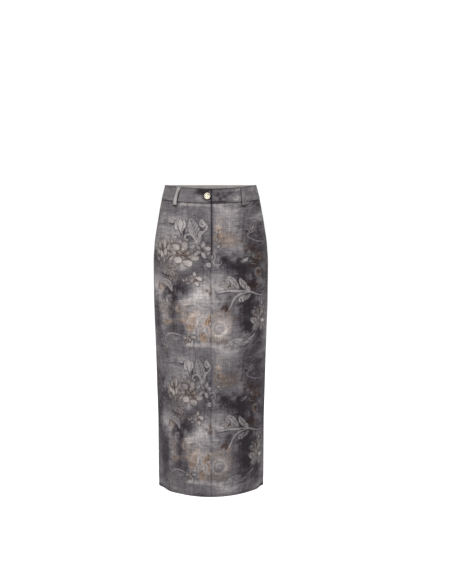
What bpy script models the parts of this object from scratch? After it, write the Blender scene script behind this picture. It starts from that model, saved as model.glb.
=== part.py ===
"""A denim pencil skirt in its worn form: a hollow wall of cloth, open at the waist and the hem.

Metres, +Z up. The front faces -Y and +X is the wearer's left. The origin is the middle of the
waist, half way up the waistband at the side seams.

Every piece of cloth is a layer on one surface, the outer face of the skirt. A place on that
surface is given by its angle round the body, in degrees (0 at the centre front, 90 at the
wearer's left side seam, 180 at the centre back, -90 at the right side seam), and its height.
"""
import bpy
import numpy as np
from mathutils import Vector

# ---- cloth ---------------------------------------------------------------------------------
CLOTH = 0.0015            # one layer of denim
HEM_CLOTH = 0.0028        # the hem, turned up inside
HEM_TURN = 0.010          # height of that turn
SEAM_GAP = 0.0003         # between two pieces that are sewn together or lie on each other

# ---- waistband -----------------------------------------------------------------------------
SIDE_TOP = 0.022          # its top edge at the side seams
FRONT_DIP = 0.0113        # how much lower the top edge lies at the centre front
BACK_RISE = 0.001         # how much higher at the centre back
BAND_HEIGHT = 0.043
BAND_THICKNESS = 0.0026
BAND_PROUD = 0.0010       # how far its outer face stands out of the panels'
BAND_ROUNDING = 0.0006    # its folded edges are pinched by this on both faces
BAND_EDGE = 0.002         # height of a folded edge
BAND_LAP = 0.030          # how far the under end goes on past the centre front
BAND_STEP_END = 0.024     # the under end has come level with the rest here

# ---- fly -----------------------------------------------------------------------------------
FLY_FOOT = -0.150         # where the opening ends
FLY_LAP = 0.012           # how far the left front goes on under the right one
FLY_TUCK = 0.012          # height in which that extension tapers away below the foot
FLY_BLEND = 0.020         # height in which the left front then comes level
STEP_START = 0.002        # the left front lies under until here, past the centre front
STEP_END = 0.012          # and is level with the right one from here on

# ---- back slit -----------------------------------------------------------------------------
SLIT_TOP = -0.600
SLIT_SPREAD = 0.006       # opening at the hem

# ---- belt loops ----------------------------------------------------------------------------
LOOP_WIDTH = 0.012
LOOP_CLOTH = 0.0016
LOOP_ROWS = 14
LOOP_FACETS = 3

# ---- button and zip ------------------------------------------------------------------------
BUTTON_ACROSS = -0.0103   # beside the centre front, on the lapped end
BUTTON_HEIGHT = -0.0112
BUTTON_SIDES = 32
ZIP_CLOTH = 0.0012
ZIP_WIDTH = 0.026
ZIP_EDGE = 0.001          # its left edge, short of the centre front
ZIP_END_GAP = 0.004       # its ends stop this short of the band and of the fly's foot

# ---- hem and the cross-sections above it ---------------------------------------------------
HEM = -0.9085

# A cross-section is half an oval in front of the side seams and half another one behind them.
# Tightness 1 makes them ellipses, more than 1 draws them together at the side seams.
LEVEL_COLUMNS = ("height", "half_width", "front_depth", "back_depth", "tightness")
LEVELS = (
    (SIDE_TOP, 0.1368, 0.0920, 0.0960, 1.00),
    (-0.021, 0.1480, 0.0965, 0.1040, 1.00),
    (-0.060, 0.1557, 0.1005, 0.1130, 1.02),
    (-0.108, 0.1640, 0.1045, 0.1240, 1.05),
    (-0.156, 0.1709, 0.1075, 0.1320, 1.08),
    (-0.218, 0.1743, 0.1105, 0.1365, 1.12),
    (-0.328, 0.1736, 0.1140, 0.1330, 1.20),
    (-0.400, 0.1717, 0.1155, 0.1280, 1.26),
    (-0.500, 0.1687, 0.1175, 0.1215, 1.33),
    (-0.600, 0.1664, 0.1190, 0.1165, 1.39),
    (-0.700, 0.1640, 0.1205, 0.1135, 1.44),
    (-0.856, 0.1637, 0.1225, 0.1120, 1.49),
    (HEM, 0.1627, 0.1230, 0.1120, 1.50),
)

# Soft folds and hollows. "turn" is the angle of the middle at the top end, "lean" how far it
# has moved round at the foot, "reach" the half width in degrees, "depth" out (+) or in (-).
# A fold fades in and out along its length, and one that runs off the hem has its foot below it.
FOLD_COLUMNS = ("turn", "lean", "reach", "depth", "top", "foot")
FOLDS = (
    (0.0, 0.0, 16.0, -0.0030, -0.300, -0.930),      # hollow between the thighs
    (-34.0, 6.0, 13.0, 0.0025, -0.200, -0.780),     # right thigh
    (36.0, -7.0, 12.0, 0.0022, -0.240, -0.840),     # left thigh
    (-50.0, 4.0, 8.0, 0.0028, -0.640, -1.250),      # edge where the right side turns back
    (-68.0, 2.0, 10.0, -0.0034, -0.600, -1.250),     # trough beside it, in front of the seam
    (76.0, -9.0, 8.0, -0.0032, -0.740, -1.080),     # trough that leans off the left seam
    (60.0, -5.0, 9.0, 0.0016, -0.620, -1.200),
    (-79.0, 15.0, 6.0, -0.0016, -0.120, -0.240),    # short pulls at the hips
    (80.0, -17.0, 6.5, -0.0014, -0.135, -0.260),
    (14.0, 10.0, 6.0, -0.0012, -0.150, -0.330),     # pull under the fly's foot
    (180.0, 0.0, 17.0, -0.0052, -0.230, -0.640),    # hollow under the seat
    (147.0, 3.0, 20.0, 0.0030, -0.080, -0.330),     # seat, left and right
    (-146.0, -4.0, 19.0, 0.0032, -0.085, -0.320),
    (158.0, -12.0, 8.0, -0.0028, -0.330, -0.520),   # drags below the seat
    (-160.0, 14.0, 7.5, -0.0031, -0.345, -0.560),
    (124.0, 5.0, 9.0, -0.0040, -0.520, -1.150),     # falls down the back, left and right
    (-128.0, -6.0, 10.0, -0.0036, -0.470, -1.180),
    (108.0, 2.0, 9.0, 0.0024, -0.560, -1.200),
    (-150.0, -3.0, 9.0, 0.0026, -0.600, -1.220),
)

# How far the under side of a belt loop stands out of the panels, down from the top edge.
LOOP_COLUMNS = ("drop", "stand_off")
LOOP_PROFILE = (
    (0.0004, BAND_PROUD + SEAM_GAP),
    (0.0080, 0.0023),
    (0.0180, 0.0035),
    (0.0290, 0.0037),
    (0.0400, 0.0029),
    (0.0470, 0.0016),
    (0.0530, SEAM_GAP),
)

LOOP_PLACE_COLUMNS = ("name", "turn", "lean")
LOOP_PLACES = (
    ("belt_loop_front_right", -42.6, -1.0),
    ("belt_loop_front_left", 41.6, -1.4),
    ("belt_loop_back_left", 139.0, 0.8),
    ("belt_loop_back_right", -139.0, -0.8),
    ("belt_loop_back_centre", 180.0, 0.0),
)

# The button's turned outline, from the middle of its foot to the middle of its dome.
BUTTON_COLUMNS = ("radius", "height")
BUTTON_PROFILE = (
    (0.0038, 0.0000),
    (0.0038, 0.0011),
    (0.0080, 0.0012),
    (0.0092, 0.0017),
    (0.0096, 0.0025),
    (0.0093, 0.0033),
    (0.0085, 0.0037),
    (0.0074, 0.0040),
    (0.0055, 0.0047),
    (0.0030, 0.0052),
)
BUTTON_CROWN = 0.0053

# ---- grid -----------------------------------------------------------------------------------
PANEL_COLUMNS = 15        # facets across a quarter of the skirt
FLY_ROWS = 6
BODY_ROWS = 22
LAP_FACETS = 2            # across the left front's extension
STEP_FACETS = 2           # across its step beside the fly edge
BAND_SPAN_COLUMNS = ("last_turn", "facets")             # the waistband, from its under end on
BAND_SPANS = ((0.0, 4), (10.0, 5), (352.0, 57), (360.0, 2))
TURN_STEP = 0.4           # degrees, for a slope round the body
RISE_STEP = 0.002         # metres, for a slope up it

# ---- colours, linear ------------------------------------------------------------------------
DENIM_GREY = (0.150, 0.138, 0.141)
DENIM_DARK = (0.090, 0.082, 0.088)
TAPE_GREY = (0.045, 0.043, 0.047)
PALE_METAL = (0.720, 0.670, 0.570)


def clear_scene():
    for old in list(bpy.data.objects):
        bpy.data.objects.remove(old, do_unlink=True)


def finish(name, colour, roughness, metallic=0.0):
    """One material, a Principled shader with the piece's colour."""
    material = bpy.data.materials.new(name)
    material.use_nodes = True
    shader = material.node_tree.nodes["Principled BSDF"]
    shader.inputs["Base Color"].default_value = (*colour, 1.0)
    shader.inputs["Roughness"].default_value = roughness
    shader.inputs["Metallic"].default_value = metallic
    return material


def ease(share):
    """A soft step: 0 below 0, 1 above 1, level at both ends."""
    share = np.clip(share, 0.0, 1.0)
    return share * share * (3.0 - 2.0 * share)


def level_column(name, height):
    """One column of LEVELS at any height, on a smooth curve through the rows.

    Each span is a cubic. Its slope at a row is the harmonic mean of the slopes beside it, or
    level where they differ in sign, so the curve never swings past the rows.
    """
    table = np.array(LEVELS)[::-1]
    rows = table[:, LEVEL_COLUMNS.index("height")]
    values = table[:, LEVEL_COLUMNS.index(name)]
    span_height = np.diff(rows)
    slope = np.diff(values) / span_height
    below, above = slope[:-1], slope[1:]
    together = np.where(below * above > 0.0, below + above, 1.0)
    inner = np.where(below * above > 0.0, 2.0 * below * above / together, 0.0)
    tangent = np.concatenate((slope[:1], inner, slope[-1:]))
    span = np.clip(np.searchsorted(rows, height) - 1, 0, len(slope) - 1)
    t = (height - rows[span]) / span_height[span]
    start = (1.0 + 2.0 * t) * (1.0 - t) ** 2 * values[span]
    end = t * t * (3.0 - 2.0 * t) * values[span + 1]
    bends = t * (1.0 - t) ** 2 * tangent[span] - t * t * (1.0 - t) * tangent[span + 1]
    return start + end + bends * span_height[span]


def form(angle, height):
    """The skirt without its folds.

    Across is the half width times the sine of the angle. Out is the depth times the cosine,
    raised to the tightness.
    """
    turn = np.radians(angle)
    facing = np.cos(turn)
    front = level_column("front_depth", height)
    back = level_column("back_depth", height)
    depth = np.where(facing >= 0.0, front, back)
    across = level_column("half_width", height) * np.sin(turn)
    out = -np.sign(facing) * depth * np.abs(facing) ** level_column("tightness", height)
    return np.stack((across, out, height), axis=-1)


def outward(surface, angle, height):
    """The unit normal of a surface, square to its steps round the body and up it."""
    along = surface(angle + TURN_STEP, height) - surface(angle - TURN_STEP, height)
    up = surface(angle, height + RISE_STEP) - surface(angle, height - RISE_STEP)
    normal = np.cross(along, up)
    return normal / np.linalg.norm(normal, axis=-1, keepdims=True)


def fold_depth(angle, height):
    """The sum of the folds: each a bell across its width and a wave along its length."""
    total = np.zeros(np.broadcast(angle, height).shape)
    for turn, lean, reach, depth, top, foot in FOLDS:
        along = np.clip((top - height) / (top - foot), 0.0, 1.0)
        beside = (angle - turn - lean * along + 180.0) % 360.0 - 180.0
        total += depth * np.exp(-(beside / reach) ** 2) * np.sin(np.pi * along) ** 2
    return total


def skin(angle, height):
    """The outer face of the panels: the form, moved out by the folds."""
    return form(angle, height) + fold_depth(angle, height)[..., None] * outward(form, angle, height)


def layer(angle, height, offset):
    """The outer face moved out by an offset, which may differ from point to point."""
    angle, height, offset = np.broadcast_arrays(angle, height, offset)
    return skin(angle, height) + offset[..., None] * outward(skin, angle, height)


def top_edge(angle):
    """Height of the waistband's top edge: it dips in front and hardly rises behind."""
    facing = np.cos(np.radians(angle))
    return SIDE_TOP + np.where(facing >= 0.0, -FRONT_DIP, BACK_RISE) * facing ** 2


def band_seam(angle):
    """Height of the top edge of the panels, just below the waistband."""
    return top_edge(angle) - BAND_HEIGHT - SEAM_GAP


def place_mesh(name, points, faces, material):
    mesh = bpy.data.meshes.new(name)
    mesh.from_pydata([tuple(point) for point in points], [], faces)
    mesh.materials.append(material)
    mesh.shade_smooth()
    mesh.set_sharp_from_angle(angle=np.radians(40.0))
    piece = bpy.data.objects.new(name, mesh)
    bpy.context.collection.objects.link(piece)
    return piece


def wall(name, outer, inner, material):
    """A closed wall between two grids, whose rows run down and whose columns run round."""
    rows, columns = outer.shape[:2]
    count = rows * columns
    index = np.arange(count).reshape(rows, columns)
    corners = (index[:-1, :-1], index[1:, :-1], index[1:, 1:], index[:-1, 1:])
    outside = np.stack(corners, axis=-1).reshape(-1, 4)
    inside = outside[:, ::-1] + count
    rim = np.concatenate((index[:, 0], index[-1, 1:], index[-2::-1, -1], index[0, -2:0:-1]))
    ahead = np.roll(rim, -1)
    edge = np.stack((ahead, rim, rim + count, ahead + count), axis=-1)
    points = np.concatenate((outer.reshape(-1, 3), inner.reshape(-1, 3)))
    faces = np.concatenate((outside, inside, edge)).tolist()
    return place_mesh(name, points, faces, material)


def row_shares():
    """The rows of every panel, as shares of the way from the band seam to the hem.

    They are closest at the foot of the fly, where its extension ends, and at the hem's turn.
    """
    seam = float(band_seam(0.0))
    tucked = FLY_FOOT - FLY_TUCK
    level = tucked - FLY_BLEND
    turned = HEM + HEM_TURN
    heights = np.concatenate((
        np.linspace(seam, FLY_FOOT, FLY_ROWS, endpoint=False),
        (FLY_FOOT, tucked),
        np.linspace(level, turned + CLOTH, BODY_ROWS, endpoint=False),
        (turned + CLOTH, turned, HEM),
    ))
    return (seam - heights) / (seam - HEM)


def panel_heights(angle):
    """Heights of a panel's points, from the band seam at their own angle down to the hem."""
    seam = band_seam(angle)
    return seam - row_shares()[:, None] * (seam - HEM)


def inner_offset(height):
    """The inner face: one layer of cloth, and two at the hem's turn."""
    return np.where(height <= HEM + HEM_TURN + CLOTH / 2.0, -HEM_CLOTH, -CLOTH)


def sew(outer, inner, column, axis, shift):
    """Move one edge column of a panel back from its seam, by half of the seam's gap."""
    outer[:, column, axis] += shift
    inner[:, column, axis] += shift


def front_right(material):
    """Its centre front edge is the fly edge, which laps over the left front."""
    angle = np.linspace(-90.0, 0.0, PANEL_COLUMNS + 1)[None, :]
    height = panel_heights(angle)
    outer = layer(angle, height, 0.0)
    inner = layer(angle, height, inner_offset(height))
    sew(outer, inner, 0, 1, -SEAM_GAP / 2.0)
    sew(outer, inner, -1, 0, -SEAM_GAP / 2.0)
    return wall("front_right", outer, inner, material)


def front_left(material):
    """Beside the fly it lies one layer lower and goes on under the right front.

    The extension tapers away just below the fly's foot. From there the panel comes out level,
    and the two fronts meet edge to edge down to the hem.
    """
    centre_height = panel_heights(np.zeros(1))
    lap = FLY_LAP * ease((centre_height - FLY_FOOT + FLY_TUCK) / FLY_TUCK)
    tucked = STEP_START - (STEP_START + lap) * np.linspace(1.0, 0.0, LAP_FACETS + 1)
    rising = np.linspace(STEP_START, STEP_END, STEP_FACETS + 1)[1:]
    fly_across = np.hstack((tucked, np.broadcast_to(rising, (len(lap), STEP_FACETS))))
    fly_angle = np.degrees(np.arcsin(fly_across / level_column("half_width", centre_height)))
    last = fly_angle[:, -1:]
    angle = np.hstack((fly_angle, last + (90.0 - last) * np.linspace(0.0, 1.0, PANEL_COLUMNS)[1:]))
    seam = band_seam(angle)
    height = seam - row_shares()[:, None] * (seam - HEM)
    across = level_column("half_width", height) * np.sin(np.radians(angle))
    beside = 1.0 - ease((across - STEP_START) / (STEP_END - STEP_START))
    above = ease((centre_height - FLY_FOOT + FLY_TUCK + FLY_BLEND) / FLY_BLEND)
    under = (CLOTH + SEAM_GAP) * beside * above
    outer = layer(angle, height, -under)
    inner = layer(angle, height, inner_offset(height) - under)
    sew(outer, inner, 0, 0, SEAM_GAP / 2.0)
    sew(outer, inner, -1, 1, -SEAM_GAP / 2.0)
    return wall("front_left", outer, inner, material)


def back(name, side, material):
    """A back panel, for the wearer's left (side 1) or right (side -1).

    Its centre back edge swings away from the other one's below the top of the slit.
    """
    seam_angle, centre_angle = 90.0 * side, 180.0 * side
    first, last = sorted((seam_angle, centre_angle))
    angle = np.linspace(first, last, PANEL_COLUMNS + 1)[None, :]
    height = panel_heights(angle)
    outer = layer(angle, height, 0.0)
    inner = layer(angle, height, inner_offset(height))
    seam_column, centre_column = (0, -1) if side > 0 else (-1, 0)
    opening = np.clip((SLIT_TOP - height[:, centre_column]) / (SLIT_TOP - HEM), 0.0, 1.0)
    sew(outer, inner, seam_column, 1, SEAM_GAP / 2.0)
    sew(outer, inner, centre_column, 0, side * (SEAM_GAP + opening * SLIT_SPREAD) / 2.0)
    return wall(name, outer, inner, material)


def waistband(material):
    """One strip round the waist. Its right end lies on top at the centre front.

    It starts with the under end, which lies one band lower, and comes out beside the lap.
    """
    waist = float(level_column("half_width", np.array(0.0)))
    first = -np.degrees(np.arcsin(BAND_LAP / waist))
    angles = [first]
    for last_turn, facets in BAND_SPANS:
        angles.extend(np.linspace(angles[-1], last_turn, facets + 1)[1:])
    angle = np.array(angles)[None, :]
    drop = np.array((0.0, BAND_EDGE, BAND_HEIGHT / 2.0, BAND_HEIGHT - BAND_EDGE, BAND_HEIGHT))
    pinch = np.array((BAND_ROUNDING, 0.0, 0.0, 0.0, BAND_ROUNDING))[:, None]
    height = top_edge(angle) - drop[:, None]
    across = waist * np.sin(np.radians(angle))
    beside = 1.0 - ease((across - STEP_START) / (BAND_STEP_END - STEP_START))
    under = np.where(angle < 90.0, (BAND_THICKNESS + SEAM_GAP) * beside, 0.0)
    outer = layer(angle, height, BAND_PROUD - pinch - under)
    inner = layer(angle, height, BAND_PROUD - BAND_THICKNESS + pinch - under)
    return wall("waistband", outer, inner, material)


def belt_loop(name, turn, lean, material):
    """A folded strip from the band's top edge to a little below it, sewn at both ends."""
    profile = np.array(LOOP_PROFILE)
    drop = np.linspace(profile[0, 0], profile[-1, 0], LOOP_ROWS)[:, None]
    stand_off = np.interp(drop, profile[:, 0], profile[:, 1])
    middle = turn + lean * drop / profile[-1, 0]
    height = top_edge(middle) - drop
    girth = skin(middle + TURN_STEP, height) - skin(middle - TURN_STEP, height)
    speed = np.linalg.norm(girth, axis=-1) / (2.0 * TURN_STEP)
    beside = np.linspace(-LOOP_WIDTH / 2.0, LOOP_WIDTH / 2.0, LOOP_FACETS + 1)[None, :]
    angle = middle + beside / speed
    height = top_edge(angle) - drop
    outer = layer(angle, height, stand_off + LOOP_CLOTH)
    inner = layer(angle, height, stand_off)
    return wall(name, outer, inner, material)


def zip_tape(material):
    """The closed zip, a narrow strip behind the fly extension."""
    waist = float(level_column("half_width", np.array(FLY_FOOT / 2.0)))
    edges = np.array((-ZIP_EDGE - ZIP_WIDTH, -ZIP_EDGE))
    angle = np.linspace(*np.degrees(np.arcsin(edges / waist)), 5)[None, :]
    top = float(band_seam(0.0)) - ZIP_END_GAP
    height = np.linspace(top, FLY_FOOT + ZIP_END_GAP, 2 * FLY_ROWS)[:, None]
    offset = -2.0 * (CLOTH + SEAM_GAP)
    outer = layer(angle, height, offset)
    inner = layer(angle, height, offset - ZIP_CLOTH)
    return wall("zip_tape", outer, inner, material)


def button(material):
    """A domed metal button, turned about its own axis and set square on the lapped end."""
    profile = np.array(BUTTON_PROFILE)
    spin = np.linspace(0.0, 2.0 * np.pi, BUTTON_SIDES, endpoint=False)
    ring = np.stack((np.cos(spin), np.sin(spin)), axis=-1)
    round_points = profile[:, 0][:, None, None] * ring[None]
    lift = np.broadcast_to(profile[:, 1][:, None, None], round_points.shape[:2] + (1,))
    points = np.concatenate((round_points, lift), axis=-1).reshape(-1, 3)
    foot, crown = len(points), len(points) + 1
    points = np.vstack((points, (0.0, 0.0, profile[0, 1]), (0.0, 0.0, BUTTON_CROWN)))
    index = np.arange(foot).reshape(len(profile), BUTTON_SIDES)
    ahead = np.roll(index, -1, axis=1)
    sides = np.stack((index[:-1], ahead[:-1], ahead[1:], index[1:]), axis=-1)
    faces = sides.reshape(-1, 4).tolist()
    faces += [(foot, after, before) for before, after in zip(index[0], ahead[0])]
    faces += [(crown, before, after) for before, after in zip(index[-1], ahead[-1])]
    piece = place_mesh("button", points, faces, material)

    height = np.array(BUTTON_HEIGHT)
    angle = np.degrees(np.arcsin(BUTTON_ACROSS / level_column("half_width", height)))
    facing = Vector(outward(skin, angle, height))
    piece.location = layer(angle, height, BAND_PROUD + SEAM_GAP)
    piece.rotation_mode = "QUATERNION"
    piece.rotation_quaternion = facing.to_track_quat("Z", "Y")
    return piece


clear_scene()
front_right(finish("front right denim", DENIM_GREY, 0.85))
front_left(finish("front left denim", DENIM_GREY, 0.85))
back("back_left", 1, finish("back left denim", DENIM_GREY, 0.85))
back("back_right", -1, finish("back right denim", DENIM_GREY, 0.85))
waistband(finish("waistband denim", DENIM_GREY, 0.85))
for loop_name, loop_turn, loop_lean in LOOP_PLACES:
    belt_loop(loop_name, loop_turn, loop_lean, finish(loop_name + " denim", DENIM_DARK, 0.85))
zip_tape(finish("zip tape", TAPE_GREY, 0.75))
button(finish("button metal", PALE_METAL, 0.25, metallic=1.0))
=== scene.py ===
"""The looks of a worn denim pencil skirt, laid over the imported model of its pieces.

Metres, +Z up. The front faces -Y and +X is the wearer's left. The skirt is put together in the
order in which it is made: the printed cloth, the panels and their seams, the zip, the waistband,
the belt loops, the button and the sewing.
"""
import bpy
import numpy as np
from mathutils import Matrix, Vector


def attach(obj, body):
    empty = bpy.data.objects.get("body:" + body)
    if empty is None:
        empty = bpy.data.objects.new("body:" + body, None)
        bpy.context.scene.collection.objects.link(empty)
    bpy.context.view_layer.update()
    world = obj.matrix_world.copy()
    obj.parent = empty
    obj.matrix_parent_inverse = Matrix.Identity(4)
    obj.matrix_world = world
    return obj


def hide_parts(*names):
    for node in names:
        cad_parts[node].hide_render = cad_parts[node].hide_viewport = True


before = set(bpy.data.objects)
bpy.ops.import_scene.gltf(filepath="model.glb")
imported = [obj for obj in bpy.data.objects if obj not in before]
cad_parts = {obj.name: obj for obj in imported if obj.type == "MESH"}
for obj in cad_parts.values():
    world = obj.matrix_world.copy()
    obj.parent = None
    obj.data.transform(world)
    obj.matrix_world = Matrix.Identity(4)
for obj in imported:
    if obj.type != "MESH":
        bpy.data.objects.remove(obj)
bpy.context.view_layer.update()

# ==== The printed cloth ======================================================================
# Grey cotton denim, printed before it is cut with one repeat of flowers, leaves and scrolls
# over torn clouds. The repeat is planned in millimetres, across from the centre front and down
# from just under the waistband, and every motif is drawn by its own short function.

MILLIMETRE = 0.001
CELL = 0.8                        # one cell of the printing screen, in millimetres
REPEAT_WIDE, REPEAT_TALL = 460.0, 415.2
PRINT_TOP = -0.032                # height of the top of the repeat on the skirt
TONE = 0                          # the first ink is lightness, before pale ink and brown ink
GROUND = 0.42                     # its tone between the motifs as drawn, and once washed
WASHED_GROUND = 0.388
CONTRAST = 1.12


def bell(value, width, middle=0.0, power=2):
    """1 at the middle and less on both sides: e to the minus (distance / width) to a power."""
    return np.exp(-((value - middle) / width) ** power)


class PrintScreen:
    """A stretch of print as a grid of cells that wraps round at its edges."""

    def __init__(self, wide, tall, ground):
        self.columns, self.rows = round(wide / CELL), round(tall / CELL)
        self.ink = np.zeros((self.rows, self.columns, 3))
        self.ink[..., TONE] = ground
        self.mottle = 0.6 * self.grain(9.0, 7.0, 3) + 0.4 * self.grain(3.0, 3.0, 5)

    def grain(self, across, down, seed):
        """Noise smoothed over these lengths: white noise with its spectrum under a bell."""
        white = np.random.default_rng(seed).standard_normal((self.rows, self.columns))
        wave_down = np.fft.fftfreq(self.rows, CELL)[:, None]
        wave_across = np.fft.fftfreq(self.columns, CELL)[None, :]
        kept = np.exp(-2 * np.pi ** 2 * ((wave_across * across) ** 2 + (wave_down * down) ** 2))
        soft = np.fft.ifft2(np.fft.fft2(white) * kept).real
        return soft / soft.std()

    def near(self, left, right, top, bottom):
        """The cells of a rectangle, with their places across and down."""
        columns = np.arange(int(left // CELL), int(right // CELL) + 2)
        rows = np.arange(int(top // CELL), int(bottom // CELL) + 2)
        cells = np.ix_(rows % self.rows, columns % self.columns)
        return cells, columns * CELL, rows[:, None] * CELL

    def around(self, across, drop, reach, lean=0.0):
        """The cells round a place, with their distances from it along two leaning axes."""
        cells, x, y = self.near(across - reach, across + reach, drop - reach, drop + reach)
        x, y = x - across, y - drop
        tilt = np.radians(lean)
        return cells, x * np.cos(tilt) + y * np.sin(tilt), y * np.cos(tilt) - x * np.sin(tilt)

    def lay(self, cells, cover, tone, cream=0.0, rust=0.0):
        """Mix an ink over what is printed there, by its cover from 0 to 1."""
        under = self.ink[cells]
        inks = np.stack(np.broadcast_arrays(tone, cream, rust), axis=-1)
        self.ink[cells] = under + np.clip(cover, 0.0, 1.0)[..., None] * (inks - under)

    def take(self, across, drop):
        """The inks at any places, each mixed from the four cells round it."""
        column, row = np.broadcast_arrays(across / CELL, drop / CELL)
        left, top = np.floor(column).astype(int), np.floor(row).astype(int)
        aside, down = (column - left)[..., None], (row - top)[..., None]
        right, below = (left + 1) % self.columns, (top + 1) % self.rows
        left, top = left % self.columns, top % self.rows
        above = self.ink[top, left] * (1.0 - aside) + self.ink[top, right] * aside
        under = self.ink[below, left] * (1.0 - aside) + self.ink[below, right] * aside
        return above * (1.0 - down) + under * down

    def cloud(self, across, drop, wide, tall, tone, cover, lean=0.0, cream=0.0, rust=0.0,
              torn=0.30):
        """A soft cloud: a flat-topped bell whose edge is torn by the mottle."""
        cells, x, y = self.around(across, drop, 1.7 * max(wide, tall), lean)
        far = np.hypot(x / wide, y / tall) * np.clip(1.0 + torn * self.mottle[cells], 0.2, 2.0)
        self.lay(cells, cover * np.exp(-0.8 * far ** 2.6), tone, cream, rust)

    def blot(self, across, drop, wide, tall, tone, rust, lean=0.0):
        """A brown cloud with a more torn edge, which covers more the browner it is."""
        self.cloud(across, drop, wide, tall, tone, 0.5 * rust + 0.25, lean, 0.2, rust, torn=0.45)

    def nearest(self, line, margin):
        """Cells round a line: their distance from each of its points, the nearest point, and
        how far they lie to the right of it."""
        left, top = line.min(axis=0) - margin
        right, bottom = line.max(axis=0) + margin
        cells, x, y = self.near(left, right, top, bottom)
        gap_across = x[None, :, None] - line[:, 0]
        gap_down = y[:, :, None] - line[:, 1]
        apart = np.hypot(gap_across, gap_down)
        closest = apart.argmin(axis=-1)
        heading = np.gradient(line, axis=0)
        heading /= np.linalg.norm(heading, axis=1, keepdims=True) + 1e-9
        pick = closest[..., None]
        down = np.take_along_axis(gap_down, pick, -1)[..., 0] * heading[closest, 0]
        side = down - np.take_along_axis(gap_across, pick, -1)[..., 0] * heading[closest, 1]
        return cells, apart, closest, side

    def stroke(self, points, width, tone, cover=0.9, cream=0.0, rust=0.0, ends=(0.3, 0.3),
               soft=1.1):
        """A brush line, widest along its middle: half its width less the distance from it."""
        line = smooth_line(points)
        share = np.linspace(0.0, 1.0, len(line))
        swell = np.interp(share, (0.0, 0.35, 0.65, 1.0), (ends[0], 1.0, 1.0, ends[1]))
        cells, apart, _, _ = self.nearest(line, width + 2.0 * soft)
        inside = (0.5 * width * swell - apart).max(axis=-1)
        self.lay(cells, cover * np.clip(0.5 + inside / soft, 0.0, 1.0), tone, cream, rust)

    def curl(self, across, drop, radius, opens, turns, hand, stem, width, tone, cream=0.05):
        """A scroll: a line that winds out of its middle, its radius growing evenly with its
        turn, and runs on into a stem."""
        share = np.linspace(0.0, 1.0, 12)
        turn = np.radians(opens) - hand * 2.0 * np.pi * turns * (1.0 - share)
        reach = radius * (0.22 + 0.78 * share)
        winding = np.stack((across + reach * np.cos(turn), drop + reach * np.sin(turn)), axis=1)
        route = np.vstack((winding, np.array(stem, dtype=float).reshape(-1, 2)))
        self.stroke(route + 1.2, width + 2.0, 0.30, 0.35, ends=(1.1, 0.6), soft=2.4)
        self.stroke(route, width, tone, 0.9, cream, ends=(1.1, 0.6))

    def leaf(self, points, width, tone, cover=0.9, cream=0.0, fullest=0.45, veins=6, shade=0.12):
        """A leaf on a bent midrib from its foot to its tip. Its half width is a sine of the way
        along, pushed so that it is fullest at its own share, and its veins slant forward."""
        line = smooth_line(points)
        cells, apart, closest, side = self.nearest(line, width)
        along = np.clip(closest / (len(line) - 1.0), 0.001, 0.999)
        swell = np.sin(np.pi * along ** (np.log(0.5) / np.log(fullest))) ** 0.85
        edge = 0.5 * width * swell - apart.min(axis=-1)
        slant = along * len(line) - 0.9 * np.abs(side)
        vein = np.cos(2.0 * np.pi * slant * (veins + 0.5) / len(line))
        dark = np.clip(vein, 0.35, 1.0) - 0.35 + 0.8 * bell(side, 1.2)
        dark *= 0.75 + 0.5 * np.tanh(side / 2.0)
        rim = 0.07 * bell(edge, 1.2, 1.4)
        self.lay(cells, 0.34 * bell(edge, 2.2, -2.0), 0.27)
        body = np.clip(0.5 + edge / 2.0, 0.0, 1.0)
        self.lay(cells, cover * body, tone - shade * dark + rim, cream)

    def petal(self, across, drop, long, wide, turn, tone, cream):
        """One petal: an egg shape with an uneven edge and a soft brown outline, palest in its
        upper part, darker towards its point and along a few creases."""
        cells, x, y = self.around(across, drop, 0.8 * long, turn)
        along, beside = 2.0 * x / long, 2.0 * y / wide
        round_off = 0.80 + 0.20 * along
        egg = 1.0 - np.sqrt(along ** 2 + (beside / round_off) ** 2) + 0.07 * self.mottle[cells]
        reach = 0.5 * np.sqrt(long * wide) * egg
        self.lay(cells, 0.42 * bell(reach, 1.6, -1.2), 0.27, 0.3, 0.35)
        light = 0.06 * along - 0.05 * np.sin(np.radians(turn)) * along - 0.10 * (1.0 - egg) ** 3
        crease = np.clip(np.cos(7.0 * beside + 3.0 * along), 0.4, 1.0) - 0.4
        body = np.clip(0.5 + reach / 2.2, 0.0, 1.0)
        self.lay(cells, 0.88 * body, tone + light - 0.12 * crease * (0.8 - along), cream)

    def scribble(self, across, drop, wide, tall, seed, count, tone, cream, rust, width):
        """Short bent pen lines within an oval. A pale one has a shadow under it."""
        draw = np.random.default_rng(seed)
        for start in draw.uniform(0.0, 2.0 * np.pi, count):
            turn = start + np.array((0.0, 0.7, 1.4, 2.0)) * draw.choice((-1.0, 1.0))
            reach = draw.uniform(0.25, 0.95) * np.array((1.0, 1.15, 0.9, 0.55))
            x, y = across + wide * reach * np.cos(turn), drop + tall * reach * np.sin(turn)
            points = np.stack((x, y), axis=1)
            if tone > 0.4:
                self.stroke(points + 1.0, 1.8 * width, 0.28, 0.25)
            self.stroke(points, width, tone, 0.75, cream, rust)

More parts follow.
